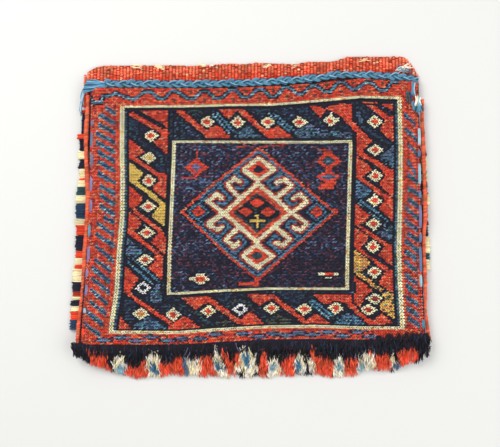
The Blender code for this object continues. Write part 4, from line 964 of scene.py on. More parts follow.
def face_stitches(sizes, dyes):
    """Every stitch of the face by zone: centres, vectors, colours and dyes."""
    laid = face_plan(sizes)
    x, y, plan = laid["x"], laid["y"], laid["plan"]
    rng = np.random.default_rng(41)
    mixture_place = spun(rng, x.shape, 1)
    bluer_place = mixture_place + blueness(*laid["measured"])
    for ground, parts in MIXTURES.items():
        limits = np.cumsum([share for _, share in parts])
        place = bluer_place if ground == FIELD_GROUND else mixture_place
        number = np.minimum(np.searchsorted(limits, place), len(parts) - 1)
        chosen = np.array([part for part, _ in parts])[number]
        plan = np.where(plan == ground, chosen, plan)
    colour = palette(dyes)[plan]
    long_wave = spun(rng, x.shape, 9)[..., None]
    grain = rng.random(x.shape)[..., None]
    odd = (np.arange(x.shape[0]) % 2)[:, None, None]
    pale = np.isin(plan, (IVORY, WHITE, GOLD, TAN))[..., None]
    warm = np.isin(plan, (RED, BRICK, SALMON))[..., None]
    # Painted light and shade: every second row of the face is painted darker than the one before, as rows
    # that lean by turns catch the light unlike each other
    pale_row_lighting, warm_row_lighting, dark_row_lighting = (tone - next_row_shade * odd for tone, next_row_shade in
                                       (PALE_ROW_LIGHTING, WARM_ROW_LIGHTING, DARK_ROW_LIGHTING))
    row_light_shade = np.where(pale, pale_row_lighting, np.where(warm, warm_row_lighting, dark_row_lighting))
    # Painted shade: every second column of the ivory guards is painted darker, as shade between its beads
    guard_bead_shade = np.where(np.isin(laid["zone"], ("outer_guard", "inner_guard")), BEAD_GAP_SHADE, 0.0)
    bead_shaded = 1 - (guard_bead_shade * (np.arange(x.shape[1]) % 2)[None])[..., None]
    shadow = np.where(rng.random(x.shape)[..., None] < SHADOWED_SHARE,
                      np.where(pale, PALE_SHADOW, DEEP_SHADOW), 1.0)
    uneven = BASE_TONE + LENGTH_TONE * long_wave + GRAIN_TONE * grain
    colour = colour * uneven * row_light_shade * bead_shaded * shadow
    drift = 1 + (rng.random(x.shape)[..., None] - WARM_BALANCE) * np.array(WARM_DRIFT)
    colour = np.where(warm, colour * drift, colour)
    colour = np.minimum(colour, FULL_WHITE)
    column_step, row_step = laid["column_step"], laid["row_step"]
    x = x + rng.normal(0, COLUMN_JITTER * MM, x.shape)
    y = y + rng.normal(0, ROW_JITTER * MM, y.shape) + ((0.5 - odd) * ROW_STAGGER * row_step)[..., 0]
    depth = sizes.puckering
    probe = PROBE * MM
    centre = face(x, y, depth)
    along = (face(x + probe, y, depth) - face(x - probe, y, depth)) / (2 * probe)
    upward = (face(x, y + probe, depth) - face(x, y - probe, depth)) / (2 * probe)
    normal = np.cross(along, upward)
    normal /= np.linalg.norm(normal, axis=-1, keepdims=True)
    lean = STITCH_LEAN - 2 * STITCH_LEAN * odd
    size = 1 + rng.normal(0, SIZE_JITTER, x.shape)[..., None]
    run = (along * column_step * STITCH_RUN + lean * upward * row_step) * size
    side = upward * row_step * STITCH_SIDE * size
    rise = normal * (sizes.stitch_rise + sizes.figure_rise * (pale | warm)) * size
    laid.update(centre=centre - normal * SUNK * MM, run=run, side=side, rise=rise, colour=colour, plan=plan)
    return laid


def stitched_piece(name, laid, chosen, replaces):
    """Piece of the chosen stitches."""
    points, faces, colours, bake = stitches(laid["centre"][chosen], laid["run"][chosen],
                                            laid["side"][chosen], laid["rise"][chosen],
                                            laid["colour"][chosen])
    skin = material("wrapping_wool", wool)
    return piece(name, points, faces, colours, skin, bake, replaces)


def shell(middle, thickness):
    """Closed cloth of a thickness from a grid of points: both sides are the grid moved along its
    normals by half the thickness, and the four edges are walled."""
    rows, columns = middle.shape[:2]
    down = np.gradient(middle, axis=0)
    across = np.gradient(middle, axis=1)
    normal = np.cross(across, down)
    normal /= np.linalg.norm(normal, axis=2, keepdims=True)
    points = np.concatenate([(middle + normal * thickness / 2).reshape(-1, 3),
                             (middle - normal * thickness / 2).reshape(-1, 3)])
    number = np.arange(rows * columns).reshape(rows, columns)
    one = np.stack([number[:-1, :-1], number[:-1, 1:], number[1:, 1:], number[1:, :-1]],
                   axis=-1).reshape(-1, 4)
    other = one[:, ::-1] + rows * columns
    border = np.concatenate([number[0, :-1], number[:-1, -1], number[-1, :0:-1], number[:0:-1, 0]])
    after = np.roll(border, -1)
    walls = np.stack([after, border, border + rows * columns, after + rows * columns], axis=-1)
    return points, np.concatenate([one, other, walls])


# The back's end is seen low on the ground, so its places are scaled from the one under the camera
UNDER_CAMERA = (-0.5, -70.2)
LOW_SCALE = 1.0145

# Cut end of the back beyond the mouth, millimetres
CUT_EDGE = (
    (-147, 119), (-143, 122), (-140, 125.5), (-135, 128.3), (-128, 130), (-60, 130.2), (-55, 129.5),
    (-30, 131), (-15, 132), (-8, 131), (5, 132.5), (20, 132), (40, 131.2), (50, 133.5), (70, 133.5),
    (78, 135.3), (85, 138), (133, 138), (135.5, 136.6), (141, 130), (144, 124), (148, 119))

# Rows and columns of the strip's surface, how they crowd to its sides, and how much darker the back's brick
# is painted, as shade in the gaps between the ribs that lie on it
BACK_ROWS = 44
FOLD_ROWS = 10
FRONT_ROWS = 60
STRIP_COLUMNS = 120
COLUMN_CROWDING = 0.9
BACK_SHADE = 0.8


def cut_edge(x):
    """Height up the bag of the back's cut end at a place across it, metres."""
    places = UNDER_CAMERA + (np.array(CUT_EDGE) - UNDER_CAMERA) * LOW_SCALE
    return table_value(places, (x - NUDGE_X) / MM) * MM + NUDGE_Y


def strip_middle(depth):
    """Middle surface of the strip: back panel from its cut end to the fold, the fold's half
    circle, then the front panel up to the mouth."""
    across = np.sin(np.linspace(-1, 1, STRIP_COLUMNS) * math.pi / 2 * COLUMN_CROWDING) \
        / math.sin(math.pi / 2 * COLUMN_CROWDING)
    x = across * HALF_WIDTH
    drop = side_drop(x)
    front_mid = FRONT_MID - drop
    radius = (front_mid - BACK_MID) / 2
    extra = np.where(across < 0, BACK_LEFT_EXTRA, BACK_RIGHT_EXTRA) * across
    rows = []
    share = np.linspace(0, 1, BACK_ROWS, endpoint=False)[:, None]
    back_x, mouth_y = woven(x + extra, np.full_like(x, HALF_HEIGHT))
    end_y = cut_edge(back_x) - SHIFT_Y
    lift = mouth_y - SHIFT_Y - HALF_HEIGHT
    start_y = end_y - lift
    back_y = start_y + (FOLD_Y - start_y) * share
    placed_x, placed_y = woven(x + extra + 0 * share, back_y)
    rows.append(np.stack([placed_x, placed_y, np.full_like(placed_x, BACK_MID)], axis=-1))
    turn = (np.linspace(0, 1, FOLD_ROWS, endpoint=False) * math.pi)[:, None]
    placed_x, placed_y = woven(x + extra * (1 + np.cos(turn)) / 2, FOLD_Y - radius * np.sin(turn))
    rows.append(np.stack([placed_x, placed_y, BACK_MID + radius * (1 - np.cos(turn))], axis=-1))
    share = np.linspace(0, 1, FRONT_ROWS)[:, None]
    front = face(x + 0 * share, FOLD_Y + (HALF_HEIGHT - FOLD_Y) * share, depth)
    front[..., 2] -= CLOTH / 2
    rows.append(front)
    return np.concatenate(rows)


class BAG_OT_strip(Operator):
    """Folded woven strip that carries everything"""
    bl_idname = "wool_bag.strip"
    bl_label = "Folded strip"

    def execute(self, context):
        sizes, dyes = settings(context)
        middle = strip_middle(sizes.puckering)
        points, faces = shell(middle, CLOTH)
        colours = palette(dyes)
        rows, columns = middle.shape[:2]
        run = np.concatenate([[0], np.cumsum(np.linalg.norm(np.diff(middle[:, columns // 2], axis=0),
                                                            axis=1))])
        # Painted shade: the back's brick is darkened by BACK_SHADE, as shade in the gaps between the ribs
        # that lie on it
        dyed = np.where((np.arange(rows) < BACK_ROWS)[:, None], colours[BRICK] * BACK_SHADE, colours[NAVY])
        dyed = np.repeat(dyed[:, None], columns, axis=1).reshape(-1, 3)
        skin = material("plain_weave_wool", plain_weave)
        made = piece("bag_cloth", points, faces, np.concatenate([dyed, dyed]), skin,
                     replaces=("woven_cloth",))
        across = np.broadcast_to(middle[..., 0], (rows, columns)).ravel()
        along = np.repeat(run, columns)
        spots = np.stack([np.concatenate([across, across]), np.concatenate([along, along])], axis=1)
        chart = made.data.uv_layers.new(name="weave")
        chart.data.foreach_set("uv", spots[faces.ravel()].astype(np.float32).ravel())
        made.data.uv_layers.remove(made.data.uv_layers["OFBake"])
        return {"FINISHED"}


class BAG_OT_face(Operator):
    """Wrapping stitches of the face: bands, guards, border, field and medallion"""
    bl_idname = "wool_bag.face"
    bl_label = "Face"

    def execute(self, context):
        laid = face_stitches(*settings(context))
        zone, plan = laid["zone"], laid["plan"]
        for name, place, slot, replaced in (
                ("left_band_stitches", "left", "red_yarn", ("left_side_band",)),
                ("right_band_stitches", "right", "red_yarn", ("right_side_band",)),
                ("top_band_stitches", "top", "red_yarn", ("top_band",)),
                ("bottom_band_stitches", "bottom", "red_yarn", ("bottom_band",)),
                ("outer_guard_stitches", "outer_guard", "ivory_yarn", ("outer_guard",)),
                ("inner_guard_stitches", "inner_guard", "ivory_yarn", ("inner_guard",)),
                ("border_row_stitches", "border", "navy_yarn", ("border_field",)),
                ("border_column_stitches", "columns", "navy_yarn", ("border_field",)),
                ("field_stitches", "field", "navy_yarn", ("centre_field",))):
            stitched_piece(name, laid, zone == place, replaced)
        medallion = zone == "medallion"
        taken = np.zeros(zone.shape, bool)
        for name, colours, slot, replaced in (
                ("medallion_red_stitches", (RED, BRICK, SALMON), "red_yarn",
                 ("medallion_outline", "centre_diamond")),
                ("medallion_blue_stitches", (BLUE, SLATE), "blue_yarn", ("medallion_band",)),
                ("medallion_ivory_stitches", (IVORY, TAN), "ivory_yarn", ("hooked_figure",)),
                ("medallion_gold_stitches", (GOLD,), "gold_yarn", ("centre_flower",))):
            chosen = medallion & np.isin(plan, colours)
            stitched_piece(name, laid, chosen, replaced)
            taken |= chosen
        stitched_piece("medallion_ground_stitches", laid, medallion & ~taken,
                       ("medallion_ground",))
        return {"FINISHED"}


# Loose wisps on the cut end: from and to in millimetres, dye, how many and their spread
WISPS = (
    (-84, 129, -76, 127, IVORY, 8, 0.8), (-105, 129, -96, 127.6, IVORY, 5, 0.7),
    (-47, 130.6, -40, 129, IVORY, 4, 0.6), (-36, 129.5, -29, 131, WHITE, 7, 0.7),
    (36, 128.5, 41, 131, IVORY, 4, 0.8), (128.5, 124, 140, 127.5, WHITE, 9, 1.4),
    (129.5, 127, 141, 123.5, SLATE, 9, 1.3), (131, 125.5, 138, 124, PALE_BLUE, 7, 1.2),
    (133, 127.5, 139, 125.5, IVORY, 6, 1.2), (-128, 126.5, -121, 128, SALMON, 5, 0.8),
    (96, 133.5, 104, 135, IVORY, 4, 0.7), (12, 128, 18, 130, IVORY, 4, 0.7))
WISP_LIFT = 2.6
WISP_LOW = 4.6
WISP_ARCH = 0.9
WISP_STATIONS = 14
WISP_HALF = 0.26

# Ribs of the back's end: where they start and stop across it, picks on each, and how far down they go
RIB_SPAN = (-0.1460, 0.1470)
RIB_PICKS = 26
RIB_DEPTH = 29
FRAYED = 0.9
# How far down from the cut end the ribs are mixed towards a paler red, millimetres
PALER_DEPTH = 14
FLECK_SHARE = 0.12
PALE_FLECK_SHARE = 0.025


class BAG_OT_ribbed_end(Operator):
    """Ribs of the back's end beyond the mouth, and the wisps on its cut edge"""
    bl_idname = "wool_bag.ribbed_end"
    bl_label = "Ribbed end"

    def execute(self, context):
        sizes, dyes = settings(context)
        colours = palette(dyes)
        rng = np.random.default_rng(7)
        columns = np.arange(*RIB_SPAN, sizes.rib_pitch)
        x, pick = np.meshgrid(columns, np.arange(RIB_PICKS))
        x = x + rng.normal(0, COLUMN_JITTER * MM, x.shape)
        stagger = (np.arange(len(columns)) % 2) * 0.5
        below = (pick + stagger[None] + 0.3) * sizes.pick_pitch
        frayed = rng.random(len(columns)) * FRAYED * MM
        y = cut_edge(x) - below + frayed[None] * 0.6
        # Ribs mixed towards a paler red near the cut end, less so further down
        paler_share = np.clip(1.2 - below / (PALER_DEPTH * MM) + rng.normal(0, 0.30, x.shape), 0, 1)[..., None]
        rib_tone = (0.90 + 0.28 * rng.random(len(columns)))[None, :, None]
        tone = rib_tone * (0.64 + 0.78 * rng.random(x.shape)[..., None])
        pale = colours[SALMON] * 0.85 + colours[IVORY] * 0.25 * rng.random(x.shape)[..., None]
        dyed = (colours[RED] * (1 - paler_share * 0.8) + pale * paler_share * 0.8) * tone
        for chance, fleck in ((FLECK_SHARE, pale * tone), (FLECK_SHARE, colours[BRICK] * tone),
                              (PALE_FLECK_SHARE, colours[IVORY] * tone * 0.9)):
            dyed = np.where(rng.random(x.shape)[..., None] < chance, fleck, dyed)
        keep = (y < cut_edge(x)) & (y > cut_edge(x) - RIB_DEPTH * MM)
        count = int(keep.sum())
        centre = np.stack([x, y, np.full_like(x, 2 * BACK_MID + 0.1 * MM)], axis=-1)[keep]
        run = np.zeros((count, 3))
        run[:, 0] = sizes.rib_pitch * 0.52
        run[:, 1] = rng.normal(0, 0.12, count) * MM
        side = np.zeros((count, 3))
        side[:, 1] = sizes.pick_pitch * 0.60
        rise = np.zeros((count, 3))
        rise[:, 2] = (0.95 + 0.3 * rng.random(count)) * MM
        skin = material("rib_wool", wool, strand=0.4)
        points, faces, dyed, bake = stitches(centre, run, side, rise, dyed[keep])
        piece("back_end_ribs", points, faces, dyed, skin, bake)
        paths, radii, tones = [], [], []
        for from_x, from_y, to_x, to_y, colour, count, spread in WISPS:
            share = np.linspace(0, 1, WISP_STATIONS)[None]
            start = rng.normal(0, spread, (count, 2))
            end = rng.normal(0, spread, (count, 2))
            phase = rng.uniform(0, TURN, (count, 1))
            curl = rng.uniform(0.4, 1.3, (count, 1)) * np.sin(share * math.pi)
            x = (from_x + start[:, :1] + (to_x - from_x + end[:, :1]) * share
                 + curl * np.sin(share * 9 + phase))
            y = (from_y + start[:, 1:] + (to_y - from_y + end[:, 1:]) * share
                 + curl * np.cos(share * 8 + phase) + WISP_LIFT)
            z = WISP_LOW + WISP_ARCH * np.sin(share * math.pi) + rng.random((count, 1)) * 0.8
            paths.append(np.stack([x, y, z], axis=-1) * MM + NUDGE)
            radii.append(np.full((count, WISP_STATIONS), WISP_HALF * MM))
            tones.append(np.repeat(colours[[colour]], count, axis=0) * (0.8 + 0.3 * rng.random((count, 1))))
        points, faces, dyed = strands(np.concatenate(paths), np.concatenate(radii), 4, np.concatenate(tones))
        piece("cut_end_wisps", points, faces, dyed, skin)
        return {"FINISHED"}


# Middle of the mouth cord, millimetres across and up the bag, and where its plait bulges
CORD_LINE = (
    (-128, 113.5), (-110, 113.6), (-65, 113.2), (-40, 113.4), (-15, 114.2), (10, 115), (34, 116.6),
    (60, 118.8), (74, 121.6), (85, 121.8), (100, 121.4), (118, 120.6), (130, 119.6), (147, 118))
PLAIT_LENGTH = 21.5
CORD_BULGES = (-125, -104, -84, -63, -41, -18, 5.5, 30, 52, 73, 103, 126)
BULGE_REACH = 5.2
CORD_SPAN = (-0.1270, 0.1465)
CORD_FALL = (-0.1395, 0.1470)
CORD_STATIONS = 420
CORD_HEIGHT = 11.1
CORD_YARN_HALF = 0.43
CORD_YARN_STEP = 0.52
CORD_YARNS = (BLUE, STEEL, SLATE, STEEL, BLUE, BLUE, INDIGO, BLUE, PALE_BLUE, SLATE,
              TEAL, STEEL, BLUE, BLUE, INDIGO)

# Dark strands under the plait, painted shade in its gaps, the black one a painted shadow line along its lower
# edge: sideways places, dyes, height and half thickness
SHADE_YARN_PLACES = (-2.9, -1.7, -0.6, 0.6, 1.7, 2.7)
SHADE_YARN_DYES = (BLACK, INDIGO, NAVY, INDIGO, INDIGO, NAVY)
SHADE_YARN_HEIGHT = 10.1
SHADE_YARN_HALF = 0.85

# Fan of yarns at the cord's left end: where it starts, how many, stations, half thickness, its dyes
FAN_START = (-0.1255, 0.1136)
FAN_YARNS = 22
FAN_STATIONS = 12
FAN_HALF = 0.58
FAN_DYES = (BLUE, PALE_BLUE, BLUE, INDIGO, STEEL)

# Yarns that curl down from the cord's left end: start, bend, end, dye
CURLED_ENDS = (
    (-143, 113, 8.2, -149.5, 110, 6.5, -148.6, 98, 5.0, BLUE),
    (-143, 112, 8.0, -148.8, 108, 6.2, -150, 91, 4.2, PALE_BLUE),
    (-142, 111, 8.2, -147.4, 107, 6.6, -148.5, 87, 4.0, BLUE),
    (-143, 110, 8.0, -146.6, 106, 6.4, -147.3, 95, 4.6, INDIGO))
CURLED_HALF = 0.5

# Loose thread ends at the cord's right end: from, to, dye, then their stations and half thickness
TAIL_ENDS = (
    (139.8, 114.3, 140.2, 103, BLUE), (141, 115, 141.4, 102.7, BLUE), (142.3, 114.5, 142.6, 103, PALE_BLUE),
    (135.4, 106.5, 135.2, 96.5, TEAL), (136.8, 107, 137.4, 96, TEAL), (138.4, 106.5, 138.8, 97, INDIGO),
    (143.2, 103, 143, 93.5, WHITE), (144.6, 103.4, 144.4, 93.3, IVORY), (146, 103, 146.6, 93.6, PALE_BLUE),
    (147.4, 102, 147.6, 94.5, WHITE), (140.4, 98, 140.2, 90, STEEL), (141.8, 98.4, 141.4, 89.6, BLUE),
    (143.2, 96, 143, 88.6, TEAL), (144.8, 95.5, 144.6, 88, BLUE), (146.4, 97, 146.2, 88, STEEL),
    (147.8, 97.5, 148, 88.6, BLUE), (149.2, 97, 149.4, 90, TEAL), (145.6, 93, 145.3, 86.8, BLUE))
TAIL_STATIONS = 8
TAIL_HALF = 0.68
TAIL_TIP_HALF = 0.3
TAIL_EDGE = 138
TAIL_EDGE_WIDTH = 12
TAIL_HEIGHT = 12.6
TAIL_FALL = 3.6


def cord_middle(x):
    """Height up the bag of the mouth cord's middle, metres."""
    return table_value(CORD_LINE, x / MM) * MM


class BAG_OT_mouth_cord(Operator):
    """Plaited blue cord on the mouth edge, its bundle at the left and the loose threads at the right"""
    bl_idname = "wool_bag.mouth_cord"
    bl_label = "Mouth cord"

    def execute(self, context):
        colours = palette(context.scene.wool_bag_dyes)
        rng = np.random.default_rng(19)
        stations = CORD_STATIONS
        x = np.linspace(*CORD_SPAN, stations)
        bulge = np.exp(-((x[:, None] / MM - np.array(CORD_BULGES)) / BULGE_REACH) ** 2).sum(axis=1)
        inward = np.minimum(x - CORD_FALL[0], CORD_FALL[1] - x)
        drop = SIDE_DROP * (1 - ease(inward / SIDE_DROP_WIDTH))
        groups, each = 3, 5
        group = np.repeat(np.arange(groups), each)
        within = np.tile(np.arange(each), groups) - (each - 1) / 2
        yarns = len(group)
        turn = (TURN * (x / MM / PLAIT_LENGTH)[None] + group[:, None] * TURN / groups)
        wide = (1.75 + 0.75 * bulge) * MM
        paths = np.zeros((yarns, stations, 3))
        paths[..., 0] = x[None]
        paths[..., 1] = (cord_middle(x)[None] + 0.45 * MM * bulge[None] + wide[None] * np.sin(turn)
                         + within[:, None] * CORD_YARN_STEP * MM + rng.normal(0, 0.08, (yarns, 1)) * MM)
        paths[..., 2] = (CORD_HEIGHT * MM - drop[None] + 1.0 * MM * np.sin(2 * turn)
                         + 0.35 * MM * (1 - (within[:, None] / 2) ** 2))
        radii = np.full((yarns, stations), CORD_YARN_HALF * MM)
        main = strands(paths, radii, 5, colours[list(CORD_YARNS)] * (0.65 + 0.55 * rng.random((yarns, 1))))
        # Painted shade: dark strands under the plait stand for the shade in its gaps, and the black one for
        # the shadow along its lower edge
        side = np.array(SHADE_YARN_PLACES)[:, None] * MM
        shade_paths = np.zeros((len(side), stations, 3))
        shade_paths[..., 0] = x[None]
        shade_paths[..., 1] = cord_middle(x)[None] + side + 0.15 * MM * np.sin(x[None] / MM * 1.4 + side / MM)
        shade_paths[..., 2] = SHADE_YARN_HEIGHT * MM - drop[None]
        shade_strands = strands(shade_paths, np.full((len(side), stations), SHADE_YARN_HALF * MM), 5,
                        colours[list(SHADE_YARN_DYES)])
        skin = material("plaited_wool_cord", wool, strand=0.5, fuzz=0.6)
        points, faces, dyed = gathered([main, shade_strands])
        piece("mouth_cord_yarns", points + NUDGE, faces, dyed, skin, replaces=("mouth_cord",))
        self.left_end(colours, skin, rng)
        self.right_tail(colours, skin, rng)
        return {"FINISHED"}

    def left_end(self, colours, skin, rng):
        """Yarns that fan out from the cord to the left corner, and those that curl down it."""
        yarns, stations = FAN_YARNS, FAN_STATIONS
        share = np.linspace(0, 1, stations)[None]
        offset = np.linspace(-1, 1, yarns)[:, None]
        paths = np.zeros((yarns, stations, 3))
        paths[..., 0] = (FAN_START[0] - share * (0.0185 + 0.0012 * np.cos(offset * 1.5))
                         + 0.002 * offset * share)
        spread = ease(share * 1.3)
        paths[..., 1] = FAN_START[1] + offset * (1.9 + 2.6 * spread) * MM - 0.9 * MM * share * (1 - offset)
        paths[..., 1] += 0.3 * MM * np.sin(share * 7 + offset * 9)
        paths[..., 2] = ((10.4 - 2.0 * share ** 2 - 0.9 * offset ** 2) * MM
                         + rng.normal(0, 0.25, (yarns, 1)) * MM)
        tones = rng.choice(FAN_DYES, yarns)
        body = strands(paths, np.full((yarns, stations), FAN_HALF * MM), 5,
                       colours[tones] * (0.85 + 0.45 * rng.random((yarns, 1))))
        curl = np.array([end[:9] for end in CURLED_ENDS]) * MM
        shares = np.linspace(0, 1, stations)[:, None]
        start, middle, end = (curl[:, None, place:place + 3] for place in (0, 3, 6))
        bent = (1 - shares) ** 2 * start + 2 * shares * (1 - shares) * middle + shares ** 2 * end
        hanging = strands(bent, np.full((len(curl), stations), CURLED_HALF * MM), 5,
                          colours[[end[9] for end in CURLED_ENDS]])
        points, faces, dyed = gathered([body, hanging])
        piece("cord_left_end_yarns", points + NUDGE, faces, dyed, skin,
              replaces=("cord_left_end",))

    def right_tail(self, colours, skin, rng):
        """Loose thread ends that hang over the right side."""
        share = np.linspace(0, 1, TAIL_STATIONS)
        paths = np.zeros((len(TAIL_ENDS), TAIL_STATIONS, 3))
        for number, (from_x, from_y, to_x, to_y, _) in enumerate(TAIL_ENDS):
            paths[number, :, 0] = (from_x + (to_x - from_x) * share
                                   + 0.6 * np.sin(share * 5 + number)) * MM
            paths[number, :, 1] = (from_y + (to_y - from_y) * share) * MM
            edge_fall = np.clip((paths[number, :, 0] / MM - TAIL_EDGE) / TAIL_EDGE_WIDTH, 0, 1)
            paths[number, :, 2] = (TAIL_HEIGHT - TAIL_FALL * edge_fall) * MM + rng.normal(0, 0.15) * MM
        radii = np.full((len(TAIL_ENDS), TAIL_STATIONS), TAIL_HALF * MM)
        radii[:, -1] = TAIL_TIP_HALF * MM
        points, faces, dyed = strands(paths, radii, 5, colours[[end[4] for end in TAIL_ENDS]])
        piece("cord_right_threads", points + NUDGE, faces, dyed, skin,
              replaces=("cord_right_tail",))


# Running stitches beside the cords: top, bottom in millimetres and dye
LEFT_DASHES = (
    (82, 77, SLATE), (72, 58, SLATE), (54, 40, SLATE), (33, 19, LILAC), (13, 1, LILAC), (-9, -20, STEEL),
    (-27, -42, LILAC), (-47, -54, LILAC), (-60, -70, LILAC), (-80, -84, PALE_BLUE), (-97, -104, RED))
RIGHT_DASHES = (
    (75, 60, PALE_BLUE), (56, 50, SLATE), (44, 26, PALE_BLUE), (20, 14, SLATE), (8, -12, LILAC),
    (-17, -24, SLATE), (-28, -50, SLATE), (-52, -62, PALE_BLUE), (-90, -97, BLUE))
DASH_STATIONS = 9
DASH_INWARD = 2.2
DASH_ARCH = 1.5
DASH_SUNK = 0.4
DASH_PAIR = 1.1
DASH_HALF = 0.72

# How the side cords wander: place and step sideways, and how far the left one rises with it
RIGHT_CORD_WAVE = (
    (-105, 0.4), (-80, -1.8), (-60, -1.5), (-45, -1.2), (-20, -0.7), (0, -0.2), (25, -0.3), (60, 0.3),
    (85, -0.6), (100, -0.4))
LEFT_CORD_WAVE = (
    (-105, 0.8), (-80, 0.9), (-60, 0.9), (-40, 1.9), (-15, 2.8), (10, 2.8), (25, 2.2), (50, 1.0), (80, 0),
    (100, 0))
LEFT_CORD_LIFT = 0.45

# Side cords: step out from the panel, height, half size and how much thinner low down, yarn, tops, lowest
CORD_OUTWARD = 3.2
CORD_MIDDLE = 6.3
CORD_HALF = 1.45
CORD_THINNER = 0.42
CORD_WRAP_HALF = 0.76
CORD_TOPS = (("left", -1, 0.1105), ("right", 1, 0.1005))
CORD_LOWEST = -0.1060


def side_line(side, y):
    """Place across the bag of a side cord's middle at heights of the panel."""
    x = side * (HALF_WIDTH + CORD_OUTWARD * MM)
    return woven(np.full_like(y, x), y)


class BAG_OT_side_cords(Operator):
    """Red wrapped cords that close the sides, and the light-blue running stitches beside them"""
    bl_idname = "wool_bag.side_cords"
    bl_label = "Side cords"

    def execute(self, context):
        sizes, dyes = settings(context)
        colours = palette(dyes)
        rng = np.random.default_rng(23)
        skin = material("wrapped_wool_cord", wool, strand=0.4)
        thread_skin = material("running_stitch_wool", wool, strand=0.5)
        for name, side, top in CORD_TOPS:
            y = np.arange(CORD_LOWEST, top, sizes.wrap_pitch)
            x, placed_y = side_line(side, y)
            x = x + 0.5 * MM * np.sin(y / 0.013) + rng.normal(0, 0.10, len(y)) * MM
            inward = table_value(RIGHT_CORD_WAVE if side > 0 else LEFT_CORD_WAVE, y / MM)
            x = x + inward * MM
            height = (CORD_MIDDLE + 0.3 * np.sin(y / 0.021)) * MM
            if side < 0:
                height = height + LEFT_CORD_LIFT * inward * MM
            centres = np.stack([x, placed_y, height], axis=1)
            thinner = CORD_THINNER * ease((-y - 0.02) / 0.05)
            size = (CORD_HALF - thinner + 0.24 * np.sin(y / 0.009 + side) + rng.normal(0, 0.07, len(y))) * MM
            wide = np.zeros((len(y), 3))
            wide[:, 0] = size
            wide[:, 1] = 0.35 * size
            high = np.zeros((len(y), 3))
            high[:, 2] = size * 1.15
            forward = np.tile([-0.2, 1.0, 0.0], (len(y), 1))
            tone = 0.62 + 0.5 * rng.random((len(y), 1))
            mixed = 0.25 + rng.random((len(y), 1)) * 0.75
            dyed = (colours[RED] * (1 - mixed) + colours[SALMON] * mixed) * tone
            dyed = dyed * (1 - 0.22 * np.sin(y / 0.0031)[:, None] ** 2)
            points, faces, dyed = wraps(centres, wide, high, forward, CORD_WRAP_HALF * MM, dyed)
            piece(f"{name}_side_cord_wraps", points, faces, dyed, skin,
                  replaces=(f"{name}_side_cord",))
            self.running(name, side, sizes, colours, rng, thread_skin)
        return {"FINISHED"}

    def running(self, name, side, sizes, colours, rng, skin):
        """Running stitches: each a short thread that dips into the cloth at both ends."""
        dashes = LEFT_DASHES if side < 0 else RIGHT_DASHES
        share = np.linspace(0, 1, DASH_STATIONS)[None]
        top, low = (np.array([dash[place] for dash in dashes])[:, None] * MM for place in (0, 1))
        y = low + (top - low) * share
        panel_x = side * (HALF_WIDTH - DASH_INWARD * MM) + rng.normal(0, 0.3, (len(dashes), 1)) * MM + 0 * y
        placed = face(panel_x, y - MEASURED_Y, sizes.puckering)
        placed[..., 1] = y + NUDGE_Y
        placed[..., 2] += (DASH_ARCH * np.sin(share * math.pi) ** 0.5 - DASH_SUNK) * MM
        pair = placed.copy()
        pair[..., 0] += DASH_PAIR * MM
        tones = [dash[2] for dash in dashes] * 2
        paths = np.concatenate([placed, pair])
        points, faces, dyed = strands(paths, np.full(paths.shape[:2], DASH_HALF * MM), 5,
                                      colours[tones] * (0.85 + 0.3 * rng.random((len(tones), 1))))
        piece(f"{name}_running_stitches", points, faces, dyed, skin,
              replaces=(f"{name}_seam_thread",))


# Overcasting down each side: top and bottom in millimetres, dye and how far out it reaches
LEFT_OVERCAST = (
    (93, 90, BRICK, 147), (90, 71, NAVY, 146.3), (71, 67, RED, 149.5), (67, 55.5, NAVY, 147.6),
    (55.5, 49, IVORY, 148.6), (49, 40, NAVY, 147.6), (40, 32, IVORY, 147.2), (32, 30.5, RED, 147),
    (30.5, 24.5, IVORY, 148), (24.5, 17.5, TEAL, 148.6), (17.5, 10, IVORY, 149.4), (10, -3, INDIGO, 149.4),
    (-3, -9, IVORY, 149.8), (-9, -17.5, RED, 148.6), (-17.5, -31, NAVY, 149), (-31, -37, RED, 149),
    (-37, -43, IVORY, 149), (-43, -47, RED, 149), (-47, -58, IVORY, 150.6), (-58, -66, NAVY, 150.6),
    (-66, -70, BRICK, 150.2), (-70, -73, IVORY, 150.6), (-73, -78, NAVY, 151.4), (-78, -82.5, IVORY, 151),
    (-82.5, -90, RED, 151.4), (-90, -98, INDIGO, 151.8))
RIGHT_OVERCAST = (
    (58, 51, NAVY, 151.5), (51, 39.5, IVORY, 151.6), (39.5, 36, NAVY, 151.2), (36, 30, IVORY, 151.8),
    (30, 17, NAVY, 151.4), (17, 9, IVORY, 153.2), (9, -18.5, NAVY, 151.2),
    (-18.5, -33, IVORY, 152.4), (-33, -38.5, TEAL, 152), (-38.5, -47, IVORY, 151.8))

# Sides of the overcasting: side, blocks, where they start under the cord, and how many nodes they are
OVERCAST_SIDES = (("left", -1, LEFT_OVERCAST, 0.1405, 10), ("right", 1, RIGHT_OVERCAST, 0.1468, 4))
OVERCAST_FAMILIES = (
    ("navy", (NAVY, INDIGO, TEAL), "navy_overcast"), ("ivory", (IVORY,), "ivory_overcast"),
    ("red", (RED, BRICK), "red_overcast"))
OVERCAST_HEIGHT = 1.95
OVERCAST_HALF = 1.35
OVERCAST_YARN = 0.74
OVERCAST_SQUARE = 0.6


